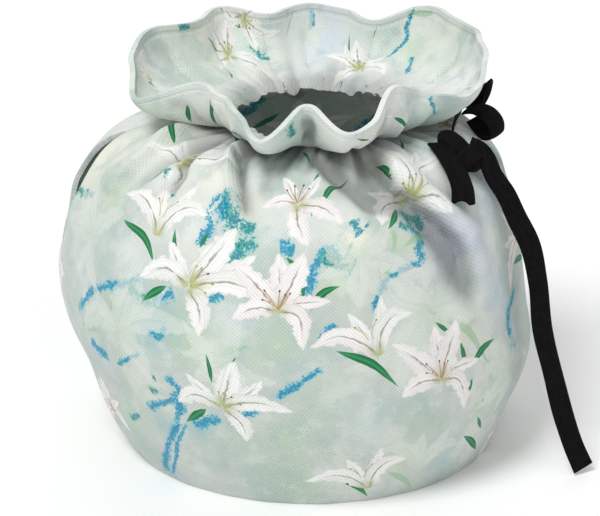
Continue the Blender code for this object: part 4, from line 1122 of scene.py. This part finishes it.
# One stamen of the print: a fine thread with a small anther at its end, dark where the code is 2 or more
thread, thread_in, thread_out = new_group(
    "printed_thread",
    [("Place", "NodeSocketColor")],
    [("Colour", "NodeSocketColor"), ("Mask", "NodeSocketFloat")],
)
t_along, t_across, t_code = apart(thread, thread_in.outputs["Place"])
t_wide = sum_up(thread, "ABSOLUTE", t_across)
t_rosy = sum_up(thread, "GREATER_THAN", sum_up(thread, "FRACT", t_code), 0.5)
t_start = step_between(thread, t_along, 0.0, 0.06)
t_run = times(thread, t_start, step_between(thread, t_along, 0.92, 0.86))
t_stalk = times(thread, step_between(thread, t_wide, 1.6, 0.4), t_run)
t_stalk = times(thread, t_stalk, 0.80)
t_far = sum_up(thread, "DIVIDE", minus(thread, t_along, 0.96), 0.070)
t_far = times(thread, t_far, t_far)
t_out = sum_up(thread, "DIVIDE", t_wide, 1.9)
t_out = times(thread, t_out, t_out)
t_anther = step_between(thread, plus(thread, t_far, t_out), 1.3, 0.6)
t_stalk_colour = blend_colours(thread, t_rosy, INKS["stalk"], INKS["rosy_stalk"])
t_tip_colour = blend_colours(thread, t_rosy, INKS["anther"], INKS["rosy_anther"])
t_dark = sum_up(thread, "GREATER_THAN", t_code, 1.5)
t_tip_colour = blend_colours(thread, t_dark, t_tip_colour, INKS["dark_anther"])
t_colour = blend_colours(thread, t_anther, t_stalk_colour, t_tip_colour)
thread.links.new(t_colour, thread_out.inputs["Colour"])
thread.links.new(sum_up(thread, "MAXIMUM", t_stalk, t_anther), thread_out.inputs["Mask"])

# One speckled vein of the marbled ground: specks that crowd towards its middle line, over a faint haze.
# Wander bends it and shifts its hue from blue to teal, and grain gives the specks.
vein, vein_in, vein_out = new_group(
    "printed_vein",
    [("Place", "NodeSocketColor"), ("Wander", "NodeSocketFloat"), ("Grain", "NodeSocketFloat")],
    [("Colour", "NodeSocketColor"), ("Mask", "NodeSocketFloat")],
)
v_along, v_across, v_green = apart(vein, vein_in.outputs["Place"])
v_wander = vein_in.outputs["Wander"]
v_bend = minus(vein, v_wander, 0.5)
v_wide = sum_up(vein, "ABSOLUTE", sum_up(vein, "MULTIPLY_ADD", v_bend, 3.0, v_across))
v_start = step_between(vein, v_along, -0.08, 0.10)
v_ends = times(vein, v_start, step_between(vein, v_along, 1.08, 0.90))
v_near = times(vein, step_between(vein, v_wide, 1.9, 0.0), v_ends)
v_grain = vein_in.outputs["Grain"]
v_low = sum_up(vein, "MULTIPLY_ADD", v_near, -0.31, 0.58)
v_speck = step_between(vein, v_grain, v_low, plus(vein, v_low, 0.11))
v_speck = times(vein, v_speck, step_between(vein, v_near, 0.0, 0.30))
v_haze = times(vein, v_near, 0.62)
v_mask = sum_up(vein, "MAXIMUM", times(vein, v_speck, 0.92), v_haze)
v_hue = times(vein, minus(vein, v_wander, 0.5), 1.6)
v_hue = step_between(vein, plus(vein, v_green, v_hue), 0.08, 0.72)
v_colour = blend_colours(vein, v_hue, INKS["vein_blue"], INKS["vein_teal"])
v_light = blend_colours(vein, v_hue, INKS["light_blue"], INKS["light_teal"])
v_deep = step_between(vein, v_grain, plus(vein, v_low, 0.03), plus(vein, v_low, 0.24))
v_colour = blend_colours(vein, v_deep, v_light, v_colour)
vein.links.new(v_colour, vein_out.inputs["Colour"])
vein.links.new(v_mask, vein_out.inputs["Mask"])

# The printed canvas: washes and clouds of the ground, then veins, petals, leaves and stamens, over a weave
WEAVE_PITCH = 0.00085
WEAVE_BUMP = 0.0002
PAINTED_FOLD_SHADE = 0.50             # how much darker the painted shade makes the cloth in its folds and under the frill
printed_cloth, cloth_tree, cloth_shader = new_material("printed_cloth", 0.86)
cloth_shader.inputs["Specular IOR Level"].default_value = 0.25
cloth_shader.inputs["Sheen Weight"].default_value = 0.12
cloth_shader.inputs["Sheen Roughness"].default_value = 0.5


def from_attribute(tree, name):
    made = tree.nodes.new("ShaderNodeAttribute")
    made.attribute_name = name
    return made


def placed(tree, group, *inputs):
    """A copy of a node group in a material, with its inputs fed in their order."""
    made = tree.nodes.new("ShaderNodeGroup")
    made.node_tree = group
    for socket, value in zip(made.inputs, inputs):
        feed(tree, socket, value)
    return made


cloth_place = cloth_tree.nodes.new("ShaderNodeTexCoord").outputs["Object"]
wash = from_attribute(cloth_tree, "wash").outputs["Color"]
cloud = cloudy(cloth_tree, cloth_place, 26.0, 4.0, 0.6)
mist = cloudy(cloth_tree, cloth_place, 70.0, 4.0, 0.65)
CLOUDS = [
    (cloud, 0.50, 0.64, 0.50, "cloud_cream"), (cloud, 0.50, 0.36, 0.60, "cloud_green"),
    (mist, 0.53, 0.66, 0.35, "mist_white"), (mist, 0.48, 0.34, 0.45, "mist_sea"),
]
colour = wash
for noise, starts, full, strength, ink in CLOUDS:
    cover = step_between(cloth_tree, noise, starts, full, 0.0, strength)
    colour = blend_colours(cloth_tree, cover, colour, INKS[ink])
wander = cloudy(cloth_tree, cloth_place, 210.0, 2.0)
grain = cloudy(cloth_tree, cloth_place, 900.0, 3.0, 0.6)
for kind, group, noises in (("vein", vein, (wander, grain)), ("blade", blade, ()), ("thread", thread, ())):
    for slot in range(SLOTS[kind]):
        place = from_attribute(cloth_tree, f"{kind}_{slot + 1}").outputs["Color"]
        drawn = placed(cloth_tree, group, place, *noises)
        colour = blend_colours(cloth_tree, drawn.outputs["Mask"], colour, drawn.outputs["Colour"])


def woven(tree):
    """Lengths across and along the cloth, from its weave map."""
    made = tree.nodes.new("ShaderNodeUVMap")
    made.uv_map = "weave"
    return apart(tree, made.outputs["UV"])[:2]


def raised(tree, shader, height, strength, distance):
    """Give a finish its fine relief."""
    made = tree.nodes.new("ShaderNodeBump")
    made.inputs["Strength"].default_value = strength
    made.inputs["Distance"].default_value = distance
    tree.links.new(height, made.inputs["Height"])
    tree.links.new(made.outputs["Normal"], shader.inputs["Normal"])


weave_u, weave_v = woven(cloth_tree)
weft = sum_up(cloth_tree, "SINE", times(cloth_tree, weave_u, math.pi / WEAVE_PITCH))
warp = sum_up(cloth_tree, "SINE", times(cloth_tree, weave_v, math.pi / WEAVE_PITCH))
weave_height = times(cloth_tree, weft, warp)
thread_grain = cloudy(cloth_tree, cloth_place, 1500.0, 1.0)
weave_height = plus(cloth_tree, weave_height, times(cloth_tree, thread_grain, 0.8))
weave_tone = step_between(cloth_tree, weave_height, -0.9, 1.4, 0.90, 1.05)
# painted shade: the print is darkened down in the creases and under the frill
painted_fold_shade = from_attribute(cloth_tree, "painted_fold_shade").outputs["Fac"]
painted_fold_tone = sum_up(cloth_tree, "MULTIPLY_ADD", painted_fold_shade, -PAINTED_FOLD_SHADE, 1.0)
weave_tone = times(cloth_tree, weave_tone, painted_fold_tone)
toned = cloth_tree.nodes.new("ShaderNodeVectorMath")
toned.operation = "SCALE"
feed(cloth_tree, toned.inputs[0], colour)
feed(cloth_tree, toned.inputs["Scale"], weave_tone)
cloth_tree.links.new(toned.outputs[0], cloth_shader.inputs["Base Color"])
raised(cloth_tree, cloth_shader, weave_height, 0.35, WEAVE_BUMP)

PANELS = [
    {"name": "front_cloth", "face": "front", "node": "front_panel", "left": "spout", "right": "handle"},
    {"name": "back_cloth", "face": "back", "node": "back_panel", "left": "handle", "right": "spout"},
]
for row in PANELS:
    cloth = panel(row["name"], row["face"], row["left"], row["right"])
    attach(cloth, "root")
    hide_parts(row["node"])

# The tie, one length of black woven ribbon that runs round the neck in its casing and comes out at the handle
# side: a lead along the neck, two small bow loops, a short end and a long end that hangs to the table. It is
# drawn tight and knotted, and nothing sews it down.
RIBBON_WIDTH = 0.0098
RIBBON = 0.0008               # its thickness
RIBBON_CUP = 0.0004           # how far the ribbon's edges curl
RIBBON_WAVE = 0.00025         # height of its slack waves
RIBBON_COLUMNS = 8
RIB_PITCH = 0.00045
RIB_BUMP = 0.00012

# Each piece of the ribbon: the places of its middle line, measured from the body's axis, and at each place
# the direction of its width. The lead is bunched to half its width.
TIE = {
    "lead": {"node": "tie_lead", "width": RIBBON_WIDTH / 2, "rows": 60, "line": [
        (0.0627, -0.0243, 0.1514, 0.10, 0.10, 1.00),
        (0.0635, -0.0160, 0.1516, 0.10, 0.05, 1.00),
        (0.0645, -0.0080, 0.1514, 0.20, 0.00, 1.00),
        (0.0663, 0.0010, 0.1508, 0.30, 0.00, 1.00),
        (0.0681, 0.0100, 0.1500, 0.30, 0.00, 1.00),
    ]},
    "loop_back": {"node": "tie_loop_back", "width": RIBBON_WIDTH, "rows": 60, "line": [
        (0.0697, 0.0105, 0.1498, 0.84, 0.00, 0.54),
        (0.0723, 0.0118, 0.1538, 0.84, 0.00, 0.54),
        (0.0753, 0.0128, 0.1576, 0.84, 0.00, 0.54),
        (0.0773, 0.0148, 0.1593, 0.84, 0.00, 0.54),
        (0.0775, 0.0173, 0.1573, 0.84, 0.00, 0.54),
        (0.0753, 0.0183, 0.1528, 0.84, 0.00, 0.54),
        (0.0723, 0.0173, 0.1488, 0.84, 0.00, 0.54),
    ]},
    "loop_side": {"node": "tie_loop_side", "width": RIBBON_WIDTH, "rows": 80, "line": [
        (0.0695, 0.0010, 0.1524, 0.66, 0.74, 0.10),
        (0.0753, -0.0020, 0.1537, 0.66, 0.74, 0.10),
        (0.0798, -0.0040, 0.1517, 0.66, 0.74, 0.10),
        (0.0828, -0.0055, 0.1472, 0.66, 0.74, 0.10),
        (0.0825, -0.0050, 0.1424, 0.66, 0.74, 0.10),
        (0.0798, -0.0030, 0.1417, 0.66, 0.74, 0.10),
        (0.0758, 0.0000, 0.1447, 0.66, 0.74, 0.10),
        (0.0728, 0.0022, 0.1480, 0.66, 0.74, 0.10),
    ]},
    "short_end": {"node": "tie_short_end", "width": 0.0112, "rows": 70, "wavy": 0.0011, "line": [
        (0.0560, -0.0352, 0.1500, 0.72, 0.66, -0.05),
        (0.0582, -0.0398, 0.1484, 0.75, 0.62, -0.15),
        (0.0607, -0.0448, 0.1455, 0.80, 0.50, -0.25),
        (0.0640, -0.0495, 0.1408, 0.85, 0.42, -0.28),
        (0.0662, -0.0540, 0.1358, 0.88, 0.40, -0.20),
        (0.0665, -0.0585, 0.1310, 0.90, 0.40, -0.10),
    ]},
    "long_end": {"node": "tie_long_end", "width": RIBBON_WIDTH, "rows": 220, "line": [
        (0.0690, -0.0330, 0.1470, 0.30, 0.35, 0.88),
        (0.0735, -0.0336, 0.1452, 0.36, 0.50, 0.70),
        (0.0772, -0.0346, 0.1415, 0.48, 0.66, 0.40),
        (0.0800, -0.0360, 0.1355, 0.60, 0.65, 0.25),
        (0.0857, -0.0385, 0.1270, 0.70, 0.55, 0.30),
        (0.0904, -0.0410, 0.1173, 0.75, 0.50, 0.25),
        (0.0956, -0.0440, 0.1073, 0.80, 0.50, 0.22),
        (0.0999, -0.0460, 0.0892, 0.82, 0.50, 0.15),
        (0.1024, -0.0480, 0.0674, 0.82, 0.52, 0.10),
        (0.1078, -0.0500, 0.0457, 0.82, 0.52, 0.15),
        (0.1132, -0.0510, 0.0253, 0.82, 0.50, 0.22),
        (0.1176, -0.0520, 0.0125, 0.82, 0.48, 0.28),
        (0.1219, -0.0530, 0.0028, 0.82, 0.46, 0.34),
    ]},
}

# Black ribbon: fine crosswise ribs, a little dust in them
black_ribbon, ribbon_tree, ribbon_shader = new_material("black_ribbon", 0.85)
ribbon_shader.inputs["Specular IOR Level"].default_value = 0.10
ribbon_u, ribbon_v = woven(ribbon_tree)
ribs = sum_up(ribbon_tree, "SINE", times(ribbon_tree, ribbon_v, 2 * math.pi / RIB_PITCH))
ends = sum_up(ribbon_tree, "SINE", times(ribbon_tree, ribbon_u, 2 * math.pi / (1.6 * RIB_PITCH)))
rib_height = sum_up(ribbon_tree, "MULTIPLY_ADD", ends, 0.35, ribs)
ribbon_place = ribbon_tree.nodes.new("ShaderNodeTexCoord").outputs["Object"]
dust = cloudy(ribbon_tree, ribbon_place, 420.0, 3.0, 0.6)
dusty = step_between(ribbon_tree, dust, 0.35, 0.75)
ribbon_colour = blend_colours(ribbon_tree, dusty, (0.0030, 0.0030, 0.0034), (0.0065, 0.0065, 0.0070))
ribbon_tree.links.new(ribbon_colour, ribbon_shader.inputs["Base Color"])
raised(ribbon_tree, ribbon_shader, rib_height, 0.30, RIB_BUMP)


def ribbon(name, spec):
    """A strip along its line, cupped across its width, with fine slack waves; gives its length too."""
    line = np.array(spec["line"], float)
    spots = line[:, 0:3] + np.array([AXIS_X, 0, 0])
    lengths = np.concatenate([[0], np.cumsum(np.linalg.norm(np.diff(spots, axis=0), axis=1))])
    along = lengths / lengths[-1]
    crumpling = spec.get("wavy", 0)

    def read(values, at):
        return np.stack([hermite(at, along, values[:, axis]) for axis in range(3)], -1)

    def place(across, up):
        run = read(spots, up + 0.01) - read(spots, up - 0.01)
        run = run / np.linalg.norm(run, axis=1, keepdims=True)
        side = read(line[:, 3:6], up)
        side = side - run * (side * run).sum(axis=1, keepdims=True)
        side = side / np.linalg.norm(side, axis=1, keepdims=True)
        out = np.cross(side, run)
        curl = RIBBON_CUP * ((2 * across - 1)**2 - 0.33)
        wave = RIBBON_WAVE * np.sin(up * lengths[-1] * 160 + 3 * across)
        crumple = crumpling * np.sin(across * 7.5 + 0.6) * smooth((up - 0.35) / 0.65)
        uneven_end = crumpling * 0.7 * np.cos(across * 9.0) * smooth((up - 0.8) / 0.2)
        spot = read(spots, up) + side * (across[:, None] - 0.5) * spec["width"]
        return spot + out * (curl + wave + crumple)[:, None] + run * uneven_end[:, None]

    obj, across, up = grid_object(name, RIBBON_COLUMNS, spec["rows"], place)
    corners = np.empty(len(obj.data.loops), np.int32)
    obj.data.loops.foreach_get("vertex_index", corners)
    weave = obj.data.uv_layers.new(name="weave")
    flat = np.stack([across * spec["width"], up * lengths[-1]], -1)
    weave.data.foreach_set("uv", flat[corners].astype(np.float32).ravel())
    shell = obj.modifiers.new("Weight", "SOLIDIFY")
    shell.thickness = RIBBON
    shell.offset = 0
    obj.data.materials.append(black_ribbon)
    return obj, lengths[-1]


for name, spec in TIE.items():
    strip, length = ribbon("ribbon_" + name, spec)
    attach(strip, "root")
    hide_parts(spec["node"])

# The knot of the tie: the same ribbon drawn over itself twice and pulled tight into a flat rounded lump. It
# lies on the shoulder under the frill and is held by the ribbon that comes out of the casing.
KNOT_PLACE = (0.0652, -0.0333, 0.1455)    # from the body's axis
KNOT_SIZE = (0.0240, 0.0140, 0.0074)      # length, width and depth
KNOT_TURN = -30
KNOT_TIP = 36
KNOT_SOFTNESS = 0.72          # 0 for a block with sharp corners, 1 for an egg
KNOT_PLEAT = 0.16             # depth of the folds on it
KNOT_WAIST = 0.25             # how far its middle is drawn in

knot_mesh = bpy.data.meshes.new("ribbon_knot")
knot_bm = bmesh.new()
bmesh.ops.create_cube(knot_bm, size=1.0)
bmesh.ops.subdivide_edges(knot_bm, edges=knot_bm.edges[:], cuts=15, use_grid_fill=True)
for corner in knot_bm.verts:
    round_spot = corner.co.normalized() * 0.5
    soft = corner.co.lerp(round_spot, KNOT_SOFTNESS)
    fold = 1 + KNOT_PLEAT * math.cos(soft.y * 20 + soft.x * 9) * (1 - 1.4 * abs(soft.x))
    waist = 1 - KNOT_WAIST * (1 - 4 * soft.x**2)
    corner.co = Vector((soft.x, soft.y * waist * 1.1, soft.z * fold))
bmesh.ops.scale(knot_bm, vec=KNOT_SIZE, verts=knot_bm.verts)
knot_bm.to_mesh(knot_mesh)
knot_bm.free()
knot = bpy.data.objects.new("ribbon_knot", knot_mesh)
bpy.context.scene.collection.objects.link(knot)
knot.location = Vector((AXIS_X, 0, 0)) + Vector(KNOT_PLACE)
knot.rotation_euler = (0.0, math.radians(KNOT_TIP), math.radians(KNOT_TURN))
bpy.context.view_layer.update()
knot_mesh.transform(knot.matrix_world)
knot.location = (0, 0, 0)
knot.rotation_euler = (0, 0, 0)
knot_mesh.shade_smooth()
knot_weave = knot_mesh.uv_layers.new(name="weave")
for loop in knot_mesh.loops:
    spot = knot_mesh.vertices[loop.vertex_index].co
    knot_weave.data[loop.index].uv = (spot.x, spot.z)
knot_mesh.materials.append(black_ribbon)
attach(knot, "root")
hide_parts("tie_knot")

# The turn of ribbon that binds the knot: the same ribbon, laid once round the knot's middle and tucked in
# behind it, where its two ends pass each other.
WRAP_HALF_WIDTH = 0.0080
WRAP_HALF_DEPTH = 0.0048
WRAP_OFF_MIDDLE = 0.0046      # along the knot
WRAP_DRIFT = 0.0006           # further along by the end of the turn
WRAP_STEPS = 12
wrap_along = Vector((0.696, -0.370, -0.616))
wrap_wide = Vector((0.469, 0.883, 0.0))
wrap_deep = Vector((0.544, -0.289, 0.788))
wrap_line = []
for step in range(WRAP_STEPS + 1):
    turn = math.radians(-168 + 28 * step)
    spot = Vector(KNOT_PLACE) + wrap_along * (WRAP_OFF_MIDDLE + WRAP_DRIFT * step / WRAP_STEPS)
    spot = spot + wrap_wide * WRAP_HALF_WIDTH * math.cos(turn) + wrap_deep * WRAP_HALF_DEPTH * math.sin(turn)
    wrap_line.append((*spot, *wrap_along))
wrap = ribbon("ribbon_wrap", {"width": 0.0082, "rows": 90, "line": wrap_line})[0]
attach(wrap, "root")
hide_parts("tie_knot")
